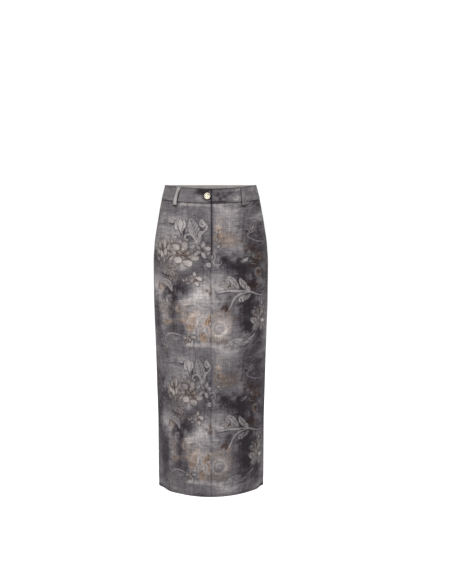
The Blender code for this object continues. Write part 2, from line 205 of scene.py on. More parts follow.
    def seed_head(self, across, drop, wide, tall, tone, rust, cover, count):
        """A worn oval head of small seeds: dots at the golden angle, each further out by the
        root of its number and printed as well as its turn says, on a faint brown ground."""
        number = np.arange(count)
        turn = number * np.pi * (3.0 - 5.0 ** 0.5)
        share = np.sqrt((number + 0.5) / count)
        printed = (0.55 + 0.45 * np.sin(2.7 * turn)) * (1.1 - 0.6 * share)
        cells, x, y = self.around(across, drop, 1.2 * max(wide, tall))
        gap_across = x[..., None] - wide * share * np.cos(turn)
        gap_down = y[..., None] - tall * share * np.sin(turn)
        dots = (printed * bell(gap_across ** 2 + gap_down ** 2, 1.7 ** 2)).max(axis=-1)
        far = np.hypot(x / wide, y / tall) + 0.12 * self.mottle[cells]
        self.lay(cells, 0.5 * cover * bell(far, 1.0, power=4), tone - 0.05, 0.2, rust)
        self.lay(cells, cover * dots, tone + 0.17, 0.5, 0.5 * rust)

    def ringed(self, across, drop, wide, tall, tone, rust, lean=0.0):
        """A brown oval with a torn edge in a faint pale ring: bells on the distance from its
        middle, measured in its own half sizes."""
        cells, x, y = self.around(across, drop, 2.4 * max(wide, tall), lean)
        far = np.hypot(x / wide, y / tall) + 0.20 * self.mottle[cells]
        self.lay(cells, 0.36 * bell(far, 0.40, 1.35), 0.70, 0.3, 0.15)
        self.lay(cells, 0.80 * bell(far, 1.0, power=4), tone + 0.08 + 0.10 * far, 0.3, rust)
        self.lay(cells, 0.30 * bell(far, 0.20, 0.55), tone - 0.04, 0.2, rust)

    def rosette(self, across, drop):
        """A worn round flower head: a grey disc with a whorl, a white ring of rays that is
        fullest to the lower right, and small pinkish dots that fade outwards."""
        cells, x, y = self.around(across, drop, 52.0)
        apart, bearing = np.hypot(x, y) + 1.2 * self.mottle[cells], np.arctan2(y, x)
        fuller = 0.70 + 0.30 * np.cos(bearing - 0.6)
        self.lay(cells, 0.55 * bell(apart, 36.0, power=4), 0.56, 0.3, 0.25)
        whorl = 0.60 + 0.06 * np.cos(bearing - apart / 2.4)
        self.lay(cells, 0.80 * bell(apart, 15.5, power=8), whorl)
        rays = 0.66 + 0.34 * np.cos(22.0 * bearing + 0.5 * apart)
        self.lay(cells, 0.95 * fuller * rays * bell(apart, 5.0, 21.0), 0.78, 0.15)
        self.lay(cells, 0.60 * bell(apart, 0.9, 15.6), 0.46, 0.1)
        dots = np.clip(np.cos(26.0 * bearing) * np.cos(1.05 * apart), 0.0, 1.0)
        self.lay(cells, 0.85 * fuller * dots * bell(apart, 6.5, 30.0), 0.74, 0.35, 0.15)


def smooth_line(points, step=1.0):
    """Places along a curve through a few points, given as across, drop, across, drop and so
    on: on each span a cubic, whose slope at a point is half the chord between its neighbours."""
    points = np.array(points, dtype=float).reshape(-1, 2)
    ends = np.vstack((2 * points[0] - points[1], points, 2 * points[-1] - points[-2]))
    spans = []
    for before, start, end, after in zip(ends, ends[1:], ends[2:], ends[3:]):
        count = max(2, int(np.linalg.norm(end - start) / step))
        t = np.linspace(0.0, 1.0, count, endpoint=False)[:, None]
        bend = 2 * before - 5 * start + 4 * end - after
        twist = 3 * start - before - 3 * end + after
        spans.append(start + 0.5 * t * (end - before + t * (bend + t * twist)))
    return np.vstack(spans + [points[-1:]])


def draw_each(motif, columns, table, **same):
    """Draw a motif once for each row of a table. The names of its columns stand in one string:
    one with a % is in hundredths, and a row may leave out its last value."""
    for row in table:
        given = {}
        for name, value in zip(columns.split(), row):
            given[name.strip("%")] = value / 100 if name.endswith("%") else value
        motif(**given, **same)


fronts = PrintScreen(REPEAT_WIDE, REPEAT_TALL, GROUND)

# Torn clouds of grey, on the right front and then on the left one, from the top down.
draw_each(fronts.cloud, "across drop wide tall tone% cover% lean", (
    (-100, 8, 120, 24, 42, 85), (-56, 4, 50, 7, 56, 85), (-87, 1, 10, 6, 70, 85),
    (-150, 74, 56, 48, 55, 75), (-98, 70, 42, 50, 53, 65), (-16, 88, 22, 44, 40, 80),
    (-72, 104, 14, 12, 25, 80), (-150, 138, 70, 34, 62, 85), (-194, 168, 24, 26, 30, 85),
    (-154, 190, 34, 24, 43, 60), (-84, 206, 62, 14, 35, 85), (-96, 184, 26, 16, 62, 80),
    (-26, 184, 38, 26, 37, 80), (-14, 212, 14, 24, 34, 70), (-186, 256, 40, 36, 68, 90),
    (-166, 304, 26, 66, 56, 85, 3), (-140, 278, 16, 24, 52, 60), (-92, 257, 46, 21, 19, 95, 6),
    (-106, 276, 16, 15, 26, 80), (-118, 284, 16, 26, 23, 90, -20), (-128, 326, 12, 30, 27, 85, 14),
    (-126, 366, 10, 14, 27, 80), (-207, 352, 25, 80, 30, 95), (-48, 280, 42, 38, 63, 90),
    (-26, 258, 30, 28, 66, 85), (-92, 298, 26, 20, 57, 85), (-46, 350, 42, 60, 54, 85),
    (-98, 336, 20, 30, 42, 60), (-108, 368, 34, 16, 32, 85), (-150, 405, 60, 22, 41, 70),
    (42, 32, 42, 46, 60, 85), (40, 4, 50, 9, 66, 80), (58, 96, 44, 34, 53, 75),
    (80, 130, 28, 28, 50, 75), (106, 152, 18, 14, 36, 70), (116, 60, 20, 60, 37, 70),
    (150, 10, 38, 18, 28, 85), (184, 36, 44, 15, 58, 85, -8), (176, 92, 50, 34, 33, 85),
    (176, 154, 50, 56, 29, 85), (8, 140, 12, 40, 39, 50), (50, 174, 34, 14, 27, 85),
    (106, 174, 18, 12, 29, 70), (84, 194, 56, 28, 19, 92), (98, 222, 28, 18, 21, 85),
    (156, 204, 44, 28, 25, 80), (24, 244, 36, 42, 62, 90), (10, 286, 22, 26, 58, 75),
    (122, 246, 36, 20, 27, 75), (196, 250, 34, 64, 32, 75), (62, 296, 24, 34, 36, 80),
    (116, 312, 32, 42, 19, 92), (84, 356, 16, 36, 36, 70), (116, 362, 28, 36, 20, 92),
    (26, 356, 44, 42, 52, 75), (166, 334, 30, 40, 34, 70), (160, 384, 26, 18, 22, 90),
    (206, 380, 24, 60, 47, 75), (66, 412, 50, 14, 44, 80), (108, 398, 30, 13, 34, 65),
))

# Brown ink in soft blots.
draw_each(fronts.blot, "across drop wide tall tone% rust% lean", (
    (22, 76, 10, 22, 66, 90), (20, 100, 11, 18, 56, 90), (56, 110, 30, 16, 48, 50),
    (34, 122, 16, 8, 46, 40), (-5, 246, 7, 11, 30, 100), (-6, 264, 7, 6, 24, 80),
    (-58, 326, 20, 12, 62, 60, -20), (-92, 345, 20, 7, 56, 90), (-92, 322, 12, 16, 52, 50),
    (-148, 352, 22, 9, 50, 90, -6), (-126, 290, 7, 16, 24, 50, 20), (-106, 312, 12, 20, 42, 60),
    (-160, 312, 14, 24, 46, 40), (54, 348, 10, 24, 54, 60), (16, 330, 26, 8, 60, 50),
    (22, 402, 30, 11, 50, 50), (156, 160, 20, 12, 31, 100), (140, 182, 22, 8, 24, 80),
    (98, 208, 8, 8, 24, 70), (134, 246, 18, 10, 20, 90), (117, 132, 20, 10, 32, 60),
    (56, 247, 6, 7, 34, 80), (46, 300, 6, 12, 22, 70), (-176, 250, 10, 12, 46, 80),
    (-84, 150, 24, 16, 36, 80), (-150, 142, 34, 24, 40, 35), (-134, 222, 20, 18, 38, 60),
))

# Brown ovals in pale rings.
draw_each(fronts.ringed, "across drop wide tall tone% rust% lean", (
    (-12, 340, 9, 13, 36, 100), (-25, 352, 7, 14, 46, 100, 24), (-10, 372, 6, 12, 40, 90),
    (-62, 340, 9, 15, 45, 95, 28), (-76, 368, 10, 13, 42, 90, -12), (-35, 396, 10, 14, 45, 90),
    (153, 205, 8, 9, 24, 100), (-164, 244, 7, 9, 44, 60),
))

threads = 0.026 * fronts.grain(1.2, 16.0, 7) + 0.022 * fronts.grain(16.0, 1.2, 8)
fronts.ink[..., TONE] *= 1.0 + 0.085 * fronts.mottle + threads
fronts.ink[..., TONE] += 0.014 * fronts.grain(5.0, 1.4, 9)

# Dark gaps that the pale drawing stands in front of.
draw_each(fronts.stroke, "width tone% points", (
    (9, 25, (-100, 117, -92, 100, -84, 86, -80, 66)),
    (9, 27, (-58, 140, -39, 148, -23, 160, -6, 170)), (9, 30, (-34, 60, -30, 80, -34, 104)),
    (7, 28, (-132, 60, -112, 62, -108, 74)), (7, 26, (-120, 148, -138, 160, -148, 176)),
    (6, 26, (20, 266, 56, 263, 92, 262)), (7, 24, (84, 214, 82, 232, 92, 250)),
    (6, 20, (120, 276, 110, 290, 88, 298)), (8, 24, (-170, 206, -146, 214, -128, 228)),
    (6, 27, (-176, 108, -160, 132, -170, 158)), (6, 27, (-140, 112, -142, 134, -126, 146)),
), cover=0.75, soft=4.0)

# Leaves, each from its foot to its tip.
draw_each(fronts.leaf, "width tone% fullest% veins shade% cream% points", (
    (24, 66, 62, 3, 10, 10, (-93, 92, -99, 74, -109, 53)),
    (20, 68, 62, 3, 10, 10, (-93, 92, -90, 72, -80, 51)),
    (13, 66, 60, 2, 5, 10, (-94, 86, -94, 68, -93, 46)),
    (33, 56, 55, 8, 24, 5, (-50, 126, -41, 106, -53, 74, -63, 40)),
    (11, 58, 50, 3, 8, 10, (-40, 98, -32, 88, -24, 82)),
    (13, 55, 50, 2, 12, 10, (-98, 94, -104, 88, -112, 87)),
    (13, 62, 50, 2, 8, 10, (-4, 186, -12, 180, -20, 178)),
    (27, 53, 55, 4, 16, 30, (86, 255, 66, 251, 46, 238, 27, 240)),
    (15, 56, 50, 3, 14, 20, (86, 254, 74, 236, 56, 220, 40, 226)),
    (5, 62, 45, 1, 2, 10, (98, 262, 70, 258, 44, 258, 16, 264)),
    (18, 57, 52, 5, 20, 20, (114, 260, 106, 246, 93, 232, 87, 218)),
    (12, 58, 50, 3, 10, 20, (122, 262, 116, 252, 108, 244)),
    (11, 52, 45, 4, 16, 20, (126, 268, 113, 278, 100, 282, 92, 290)),
    (12, 50, 50, 3, 12, 40, (108, 166, 98, 170, 90, 172)),
    (10, 56, 50, 2, 6, 20, (116, 160, 108, 166, 98, 169)),
    (20, 54, 50, 4, 14, 20, (-128, 262, -138, 240, -158, 232, -178, 236)),
    (12, 58, 50, 4, 16, 10, (40, 424, 60, 412, 82, 406, 104, 404)),
    (11, 52, 50, 4, 16, 10, (92, 424, 112, 412, 130, 402, 150, 386)),
    (20, 54, 55, 3, 16, 40, (164, 354, 146, 352, 124, 344)),
    (19, 50, 55, 3, 16, 40, (162, 356, 148, 368, 134, 374)),
    (18, 48, 55, 3, 16, 40, (158, 340, 144, 328, 130, 320)),
))

# Scrolls and stems.
draw_each(fronts.curl, "across drop radius opens turns% hand width tone% stem", (
    (-121, 51, 10, -40, 105, 1, 4.6, 64, (-107, 47, -100, 56)),
    (-111, 97, 10, -50, 80, 1, 4.2, 64, (-98, 92, -96, 98)),
    (-71, 105, 13, -130, 30, 1, 5.6, 60, (-64, 91, -52, 100, -48, 113, -56, 126, -66, 128)),
    (-25, 61, 10, -100, 105, 1, 5.2, 62, (-14, 66, -16, 76, -28, 88, -38, 104)),
    (3, 154, 10, -60, 80, 1, 3.6, 60, (13, 158, 8, 170, 12, 180, 26, 180, 32, 174)),
    (90, 286, 9, 20, 80, 1, 4.2, 62, (96, 278, 104, 272)),
    (154, 248, 9, 40, 80, -1, 2.4, 46, (146, 262, 136, 266)),
    (116, 92, 6, 120, 90, -1, 2.4, 54, (120, 102, 140, 109, 168, 114, 192, 112)),
    (-128, 400, 8, -160, 80, 1, 2.6, 58, (-136, 392, -142, 388)),
    (-152, 207, 6, 0, 95, 1, 2.4, 60, ()),
    (-126, 208, 8, -60, 85, 1, 3, 60, (-118, 212, -126, 220)),
), cream=0.12)

draw_each(fronts.stroke, "width tone% cover% cream% points", (
    (6, 58, 90, 10, (-40, 98, -46, 116, -58, 130, -72, 140)),
    (3.2, 58, 90, 10, (-93, 80, -88, 92, -95, 106, -101, 120)),
    (4.6, 62, 90, 30, (-96, 136, -114, 144, -134, 154, -148, 172)),
    (3.2, 56, 80, 40, (-66, 140, -92, 150, -118, 150)),
    (3.6, 60, 90, 10, (20, 259, 53, 257, 92, 258, 126, 263, 148, 270, 172, 274, 186, 262)),
    (2.4, 58, 70, 10, (26, 268, 60, 264, 96, 263)),
    (5.2, 60, 90, 10, (120, 264, 92, 267, 75, 276, 66, 288, 57, 308, 47, 322)),
    (2, 42, 60, 10, (162, 224, 180, 236, 190, 252, 184, 268)),
    (3.2, 62, 90, 20, (-178, 404, -164, 392, -142, 386, -116, 388, -100, 394)),
    (2.4, 56, 80, 20, (-144, 392, -130, 404, -116, 398)),
    (3, 58, 80, 10, (-200, 246, -182, 236, -160, 232, -142, 242, -126, 262)),
    (3, 52, 60, 20, (-186, 250, -192, 276, -184, 300, -190, 330)),
    (2.8, 52, 60, 20, (-168, 264, -160, 290, -170, 320, -166, 350)),
    (2.6, 50, 60, 20, (-150, 260, -146, 290, -150, 330)),
    (3.2, 70, 70, 10, (-34, 326, -46, 344, -54, 366, -66, 386)),
    (3.2, 68, 60, 10, (-30, 322, -36, 345, -28, 372, -20, 396)),
    (2.4, 66, 60, 10, (-22, 334, -20, 362, -10, 384)),
    (2.8, 68, 70, 10, (-14, 425, 4, 423, 24, 425)),
    (2.2, 52, 60, 10, (46, 402, 60, 418, 80, 424, 104, 418)),
    (2.2, 50, 60, 10, (78, 396, 88, 410, 104, 404, 126, 398, 146, 388)),
    (2.2, 50, 50, 10, (10, 436, 40, 434, 66, 440, 90, 436)),
    (2.6, 48, 50, 10, (112, 40, 136, 46, 160, 40, 186, 46)),
    (3.6, 52, 50, 10, (122, 50, 150, 44, 176, 52, 204, 46)),
))

# Soft wisps of wear.
draw_each(fronts.stroke, "width tone% cover% points", (
    (2.4, 66, 50, (36, 430, 60, 420, 84, 412, 112, 412)),
    (2.4, 64, 50, (50, 408, 74, 400, 98, 396, 118, 386)),
    (2.2, 60, 50, (64, 400, 86, 404, 112, 398, 140, 380)),
    (2.2, 60, 50, (88, 416, 110, 410, 134, 396, 152, 378)),
    (2.2, 56, 50, (96, 428, 122, 420, 144, 404, 158, 386)),
    (2.2, 56, 45, (110, 434, 136, 426, 160, 414, 178, 416)),
    (2.2, 60, 45, (44, 440, 72, 438, 96, 430, 124, 434)), (3, 66, 45, (70, 426, 84, 418, 98, 420)),
    (7, 78, 45, (-86, 290, -64, 278, -44, 276, -24, 284)),
    (6, 76, 40, (-90, 300, -66, 294, -48, 300, -34, 312)),
    (5, 76, 40, (-84, 352, -72, 334, -54, 326, -36, 330, -20, 326)),
    (5, 76, 50, (-66, 384, -56, 362, -48, 344, -34, 334)),
    (4, 76, 45, (-52, 392, -50, 372, -44, 356)),
    (5, 74, 40, (-30, 318, -38, 340, -34, 364, -22, 386)),
    (4, 72, 40, (-100, 344, -84, 342, -70, 350)), (5, 70, 35, (-62, 276, -56, 296, -60, 318)),
    (5, 62, 35, (-166, 270, -150, 284, -148, 310)), (4, 60, 35, (-182, 276, -176, 300, -182, 330)),
    (6, 60, 40, (110, 46, 136, 42, 164, 36, 200, 32)), (7, 58, 45, (130, 56, 156, 48, 190, 52)),
    (5, 70, 35, (14, 22, 46, 20, 84, 24)), (4, 62, 45, (10, 3, 34, 5, 66, 2)),
    (5, 58, 35, (-182, 46, -160, 44, -138, 48)), (5, 56, 35, (-200, 56, -180, 58, -160, 54)),
    (6, 60, 45, (58, 424, 84, 416, 104, 422)), (5, 56, 40, (30, 428, 60, 434, 96, 432)),
    (5, 50, 40, (96, 434, 130, 424, 164, 428)),
), cream=0.1, soft=4.0)

# Petals: the bunch, the small flowers below it, the sprig and the flower at the left side seam.
draw_each(fronts.petal, "across drop long wide turn tone% cream%", (
    (-186, 132, 24, 14, 95, 58, 70), (-190, 150, 20, 12, 70, 52, 70),
    (-172, 122, 27, 15, 108, 64, 60), (-152, 118, 30, 16, 82, 67, 50),
    (-162, 112, 22, 11, 70, 58, 60), (-136, 128, 24, 13, 112, 62, 50),
    (-178, 142, 26, 15, 40, 62, 70), (-164, 151, 26, 17, 72, 70, 50),
    (-148, 143, 24, 16, 100, 66, 50), (-136, 150, 19, 12, 60, 56, 60),
    (-182, 164, 22, 13, 30, 54, 70), (-156, 168, 22, 13, 120, 56, 60),
    (-96, 112, 18, 11, 60, 60, 40), (-124, 110, 20, 12, 70, 58, 40),
    (-111, 128, 29, 23, 20, 67, 40), (-82, 124, 30, 26, 100, 62, 30),
    (-98, 146, 22, 13, 30, 62, 60), (-74, 147, 22, 13, 150, 62, 60),
    (-88, 136, 17, 12, 90, 66, 50), (-88, 158, 19, 12, 80, 61, 60), (-64, 138, 18, 10, 20, 48, 40),
    (-118, 146, 20, 11, 20, 60, 50), (-106, 167, 31, 25, 10, 72, 40),
    (-76, 175, 31, 23, 15, 70, 40), (-57, 159, 33, 20, 8, 62, 40),
    (-126, 162, 22, 13, 140, 62, 50), (-136, 172, 20, 10, 30, 50, 60),
    (-130, 184, 26, 9, 18, 54, 60), (-121, 195, 22, 8, 8, 54, 60), (-146, 186, 18, 9, 70, 46, 70),
    (-162, 168, 18, 10, 95, 44, 80), (-174, 186, 20, 10, 60, 42, 70),
    (-134, 222, 16, 8, 40, 50, 60), (-120, 226, 14, 7, 120, 50, 60),
    (-54, 211, 22, 15, 80, 66, 20), (-42, 220, 22, 15, 20, 70, 20), (-49, 234, 20, 14, 60, 72, 20),
    (-62, 226, 18, 12, 120, 64, 30), (-64, 214, 12, 8, 30, 56, 50), (-90, 226, 14, 7, 60, 60, 40),
    (-80, 223, 13, 8, 100, 58, 50), (-76, 235, 16, 6, 0, 60, 40), (-26, 122, 24, 16, 95, 62, 15),
    (-15, 132, 22, 15, 10, 62, 10), (-26, 151, 24, 16, 60, 64, 10),
    (-43, 145, 24, 13, 150, 60, 15), (-42, 128, 20, 12, 40, 57, 15),
    (-10, 146, 16, 10, 140, 58, 10), (-83, 398, 22, 12, 60, 60, 40),
    (-74, 412, 24, 10, 110, 66, 40), (-68, 394, 22, 11, 0, 60, 40), (-94, 398, 18, 10, 30, 60, 40),
    (-82, 385, 16, 9, 80, 54, 40), (-90, 407, 16, 7, 140, 56, 40), (-177, 426, 18, 10, 80, 58, 50),
    (-190, 422, 14, 8, 40, 52, 50), (-168, 418, 14, 7, 120, 54, 50),
    (-182, 412, 12, 6, 100, 50, 50), (23, 66, 22, 7, 90, 68, 30), (18, 84, 18, 7, 70, 60, 30),
    (28, 84, 15, 7, 130, 58, 30), (15, 92, 14, 7, 50, 55, 30), (17, 104, 14, 7, 100, 55, 40),
    (26, 108, 15, 7, 60, 54, 30), (22, 127, 11, 9, 0, 68, 10), (28, 134, 10, 6, 60, 58, 10),
    (126, 76, 16, 10, 30, 56, 30), (134, 70, 16, 9, 120, 58, 30), (120, 84, 14, 8, 80, 50, 40),
    (132, 84, 12, 7, 0, 46, 40), (134, 156, 12, 7, 90, 52, 40), (142, 163, 12, 6, 20, 44, 50),
    (179, 353, 21, 20, 20, 68, 35), (174, 371, 24, 15, 100, 52, 50),
    (186, 366, 18, 10, 60, 55, 70), (158, 338, 24, 15, 70, 52, 50),
    (170, 328, 24, 15, 110, 55, 50), (154, 320, 22, 13, 50, 50, 50),
    (168, 310, 20, 13, 90, 50, 50), (144, 332, 16, 9, 10, 48, 70), (182, 338, 18, 9, 140, 50, 70),
    (172, 296, 17, 10, 60, 60, 30), (182, 312, 20, 12, 120, 52, 40),
    (144, 312, 18, 10, 30, 46, 40), (178, 324, 18, 11, 60, 56, 40),
    (152, 376, 20, 10, 130, 44, 40), (190, 378, 18, 10, 100, 48, 40),
    (194, 330, 18, 11, 90, 52, 40), (165, 302, 12, 6, 120, 48, 40), (194, 350, 16, 10, 80, 54, 60),
))

# Loose pen lines over and between the petals: an oval's middle and size, how many, and inks.
SCRIBBLED = "across drop wide tall seed count tone% cream% rust% width"
draw_each(fronts.scribble, SCRIBBLED, (
    (-88, 147, 16, 11, 14, 9, 62, 80, 40, 1.8), (-86, 145, 15, 11, 15, 6, 24, 50, 90, 2),
    (-100, 150, 26, 18, 17, 5, 27, 50, 70, 1.8), (-140, 190, 26, 16, 11, 9, 60, 60, 20, 2),
    (-130, 212, 22, 14, 18, 7, 58, 50, 30, 1.8), (-76, 226, 20, 9, 13, 5, 58, 40, 20, 1.8),
    (-52, 221, 10, 10, 19, 4, 26, 40, 80, 2.2), (-28, 136, 9, 9, 20, 4, 28, 30, 60, 2.2),
    (-176, 250, 12, 14, 21, 5, 60, 40, 20, 1.8), (-162, 312, 18, 26, 22, 10, 60, 40, 20, 2),
    (-150, 350, 16, 14, 23, 5, 58, 40, 60, 2), (-92, 292, 26, 12, 31, 9, 76, 30, 20, 2.2),
    (-104, 312, 14, 18, 32, 9, 62, 50, 50, 2), (-64, 330, 24, 12, 33, 8, 72, 30, 50, 2.2),
    (-72, 360, 18, 18, 34, 9, 66, 50, 50, 2), (-40, 350, 20, 26, 35, 10, 74, 20, 20, 2.2),
    (-30, 394, 14, 18, 36, 6, 66, 30, 80, 2), (-12, 352, 12, 24, 37, 8, 34, 30, 100, 2.4),
    (-84, 400, 12, 12, 38, 4, 24, 30, 40, 2), (126, 78, 13, 11, 41, 6, 60, 30, 0, 1.6),
    (126, 158, 16, 8, 42, 5, 50, 30, 20, 1.8), (156, 158, 16, 10, 43, 6, 44, 30, 100, 2),
    (152, 206, 11, 11, 44, 5, 40, 30, 100, 2), (134, 182, 14, 5, 45, 4, 46, 30, 50, 1.8),
    (150, 246, 14, 10, 46, 5, 42, 40, 80, 1.8), (54, 238, 14, 12, 47, 5, 74, 20, 0, 1.6),
    (57, 246, 9, 8, 48, 5, 27, 30, 60, 2.8), (100, 240, 8, 12, 49, 3, 34, 30, 50, 1.8),
    (160, 334, 24, 26, 50, 8, 22, 40, 50, 1.8), (164, 318, 18, 14, 51, 6, 62, 40, 10, 1.6),
    (104, 408, 40, 14, 52, 8, 52, 10, 0, 1.6), (60, 422, 30, 10, 53, 6, 56, 10, 0, 1.6),
    (-150, 408, 34, 14, 54, 6, 52, 20, 0, 1.6), (40, 184, 8, 6, 55, 3, 54, 10, 0, 1.6),
))

fronts.seed_head(54, 107, 29, 20, 0.53, 0.42, 0.80, 74)
fronts.rosette(25, 369)

# A fine hatch of threads over everything.
hatch = 0.018 * fronts.grain(0.8, 6.0, 61) + 0.022 * fronts.grain(6.0, 0.8, 62)
fronts.ink[..., TONE] *= 1.0 + hatch + 0.040 * fronts.grain(0.8, 0.8, 63)
fronts.ink[..., TONE] = WASHED_GROUND + CONTRAST * (fronts.ink[..., TONE] - GROUND)


# ==== The form on the wearer =================================================================
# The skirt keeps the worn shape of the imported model, so its named sizes and its tables of
# cross-sections and folds are repeated here. A place is an angle round the body (0 at the
# centre front, 90 at the left side seam, 180 at the centre back) and a height.

CLOTH = 0.0015            # one layer of denim
HEM_CLOTH = 0.0028        # the hem, turned up inside
HEM_TURN = 0.010
SEAM_GAP = 0.0003
SEAM_OPEN = 0.00006       # left open between two edges that are sewn together, and how
SEAM_SLANT = 0.00015      # far both edges slant, so that no light comes through
SIDE_TOP = 0.022          # the waistband's top edge at the side seams
FRONT_DIP = 0.0113
BACK_RISE = 0.001
BAND_HEIGHT = 0.043
HEM = -0.9085
TURN_STEP = 0.4           # degrees, for a slope round the body
RISE_STEP = 0.002         # metres, for a slope up it
GIRTH_PER_DEGREE = 0.0026

LEVEL_COLUMNS = ("height", "half_width", "front_depth", "back_depth", "tightness")
LEVELS = (
    (SIDE_TOP, 0.1368, 0.0920, 0.0960, 1.00),
    (-0.021, 0.1480, 0.0965, 0.1040, 1.00),
    (-0.060, 0.1557, 0.1005, 0.1130, 1.02),
    (-0.108, 0.1640, 0.1045, 0.1240, 1.05),
    (-0.156, 0.1709, 0.1075, 0.1320, 1.08),
    (-0.218, 0.1743, 0.1105, 0.1365, 1.12),
    (-0.328, 0.1736, 0.1140, 0.1330, 1.20),
    (-0.400, 0.1717, 0.1155, 0.1280, 1.26),
    (-0.500, 0.1687, 0.1175, 0.1215, 1.33),
    (-0.600, 0.1664, 0.1190, 0.1165, 1.39),
    (-0.700, 0.1640, 0.1205, 0.1135, 1.44),
    (-0.856, 0.1637, 0.1225, 0.1120, 1.49),
    (HEM, 0.1627, 0.1230, 0.1120, 1.50),
)

# Folds: turn at the top, lean to the foot, reach, depth, and heights of the top and the foot.
FOLDS = (
    (0.0, 0.0, 16.0, -0.0030, -0.300, -0.930),      # hollow between the thighs
    (-34.0, 6.0, 13.0, 0.0025, -0.200, -0.780),     # right thigh
    (36.0, -7.0, 12.0, 0.0022, -0.240, -0.840),     # left thigh
    (-50.0, 4.0, 8.0, 0.0028, -0.640, -1.250),      # edge where the right side turns back
    (-68.0, 2.0, 10.0, -0.0034, -0.600, -1.250),    # trough beside it, in front of the seam
    (76.0, -9.0, 8.0, -0.0032, -0.740, -1.080),     # trough that leans off the left seam
    (60.0, -5.0, 9.0, 0.0016, -0.620, -1.200),
    (-79.0, 15.0, 6.0, -0.0016, -0.120, -0.240),    # short pulls at the hips
    (80.0, -17.0, 6.5, -0.0014, -0.135, -0.260),
    (14.0, 10.0, 6.0, -0.0012, -0.150, -0.330),     # pull under the fly's foot
    (180.0, 0.0, 17.0, -0.0052, -0.230, -0.640),    # hollow under the seat
    (147.0, 3.0, 20.0, 0.0030, -0.080, -0.330),     # seat, left and right
    (-146.0, -4.0, 19.0, 0.0032, -0.085, -0.320),
    (158.0, -12.0, 8.0, -0.0028, -0.330, -0.520),   # drags below the seat
    (-160.0, 14.0, 7.5, -0.0031, -0.345, -0.560),
    (124.0, 5.0, 9.0, -0.0040, -0.520, -1.150),     # falls down the back, left and right
    (-128.0, -6.0, 10.0, -0.0036, -0.470, -1.180),
    (108.0, 2.0, 9.0, 0.0024, -0.560, -1.200),
    (-150.0, -3.0, 9.0, 0.0026, -0.600, -1.220),
)

# Shallow creases: the turn and height of one end, those of the other end, the
# width and the depth.
CREASES = (
    (-72.0, -0.152, -30.0, -0.186, 0.009, -0.0007),    # drags from the hips to the fly's foot
    (-77.0, -0.206, -38.0, -0.224, 0.011, -0.0005),
    (-58.0, -0.118, -34.0, -0.126, 0.007, -0.0004),
    (70.0, -0.166, 31.0, -0.197, 0.010, -0.0006),
    (75.0, -0.226, 42.0, -0.238, 0.012, -0.0005),
    (60.0, -0.124, 36.0, -0.131, 0.008, -0.0004),
    (-19.0, -0.204, -4.0, -0.176, 0.006, -0.0005),     # short ones beside the fly's foot
    (21.0, -0.214, 5.0, -0.184, 0.007, -0.0006),
    (10.0, -0.176, 3.0, -0.161, 0.004, -0.0004),
    (-24.0, -0.300, -19.0, -0.700, 0.016, -0.0008),    # long falls down the front
    (-9.0, -0.520, -11.0, -0.910, 0.013, 0.0007),
    (17.0, -0.430, 14.0, -0.890, 0.014, -0.0008),
    (45.0, -0.380, 38.0, -0.790, 0.016, 0.0008),
    (-59.0, -0.330, -55.0, -0.640, 0.014, -0.0008),
    (63.0, -0.300, 60.0, -0.690, 0.013, -0.0007),
    (29.0, -0.640, 26.0, -0.935, 0.012, 0.0007),
    (-38.0, -0.700, -33.0, -0.940, 0.011, -0.0007),
    (-52.0, -0.474, -24.0, -0.493, 0.012, -0.0005),    # breaks across at the knees
    (-40.0, -0.560, -12.0, -0.548, 0.010, -0.0004),
    (54.0, -0.492, 24.0, -0.512, 0.013, -0.0005),
    (40.0, -0.585, 15.0, -0.574, 0.010, -0.0004),
    (-84.0, -0.400, -76.0, -0.560, 0.012, -0.0008),    # beside the side seams
    (85.0, -0.360, 78.0, -0.540, 0.013, -0.0008),
    (96.0, -0.210, 116.0, -0.262, 0.010, -0.0007),
    (-97.0, -0.196, -118.0, -0.240, 0.011, -0.0007),
    (99.0, -0.420, 104.0, -0.760, 0.015, -0.0009),
    (-102.0, -0.380, -108.0, -0.730, 0.014, -0.0009),
    (170.0, -0.318, 132.0, -0.292, 0.009, -0.0009),    # smiles under the seat
    (-171.0, -0.326, -134.0, -0.297, 0.010, -0.0009),
    (166.0, -0.356, 138.0, -0.336, 0.008, -0.0006),
    (-168.0, -0.372, -141.0, -0.350, 0.008, -0.0006),
    (140.0, -0.480, 136.0, -0.880, 0.016, -0.0009),    # long falls down the back
    (-142.0, -0.520, -139.0, -0.900, 0.015, -0.0009),
    (164.0, -0.560, 166.0, -0.800, 0.012, 0.0007),
    (-166.0, -0.600, -168.0, -0.840, 0.012, 0.0007),
    (152.0, -0.030, 150.0, -0.132, 0.0022, -0.0011),   # the two sewn back darts
    (-152.0, -0.030, -150.0, -0.132, 0.0022, -0.0011),
)


def ease(share):
    """A soft step: 0 below 0, 1 above 1, level at both ends."""
    share = np.clip(share, 0.0, 1.0)
    return share * share * (3.0 - 2.0 * share)


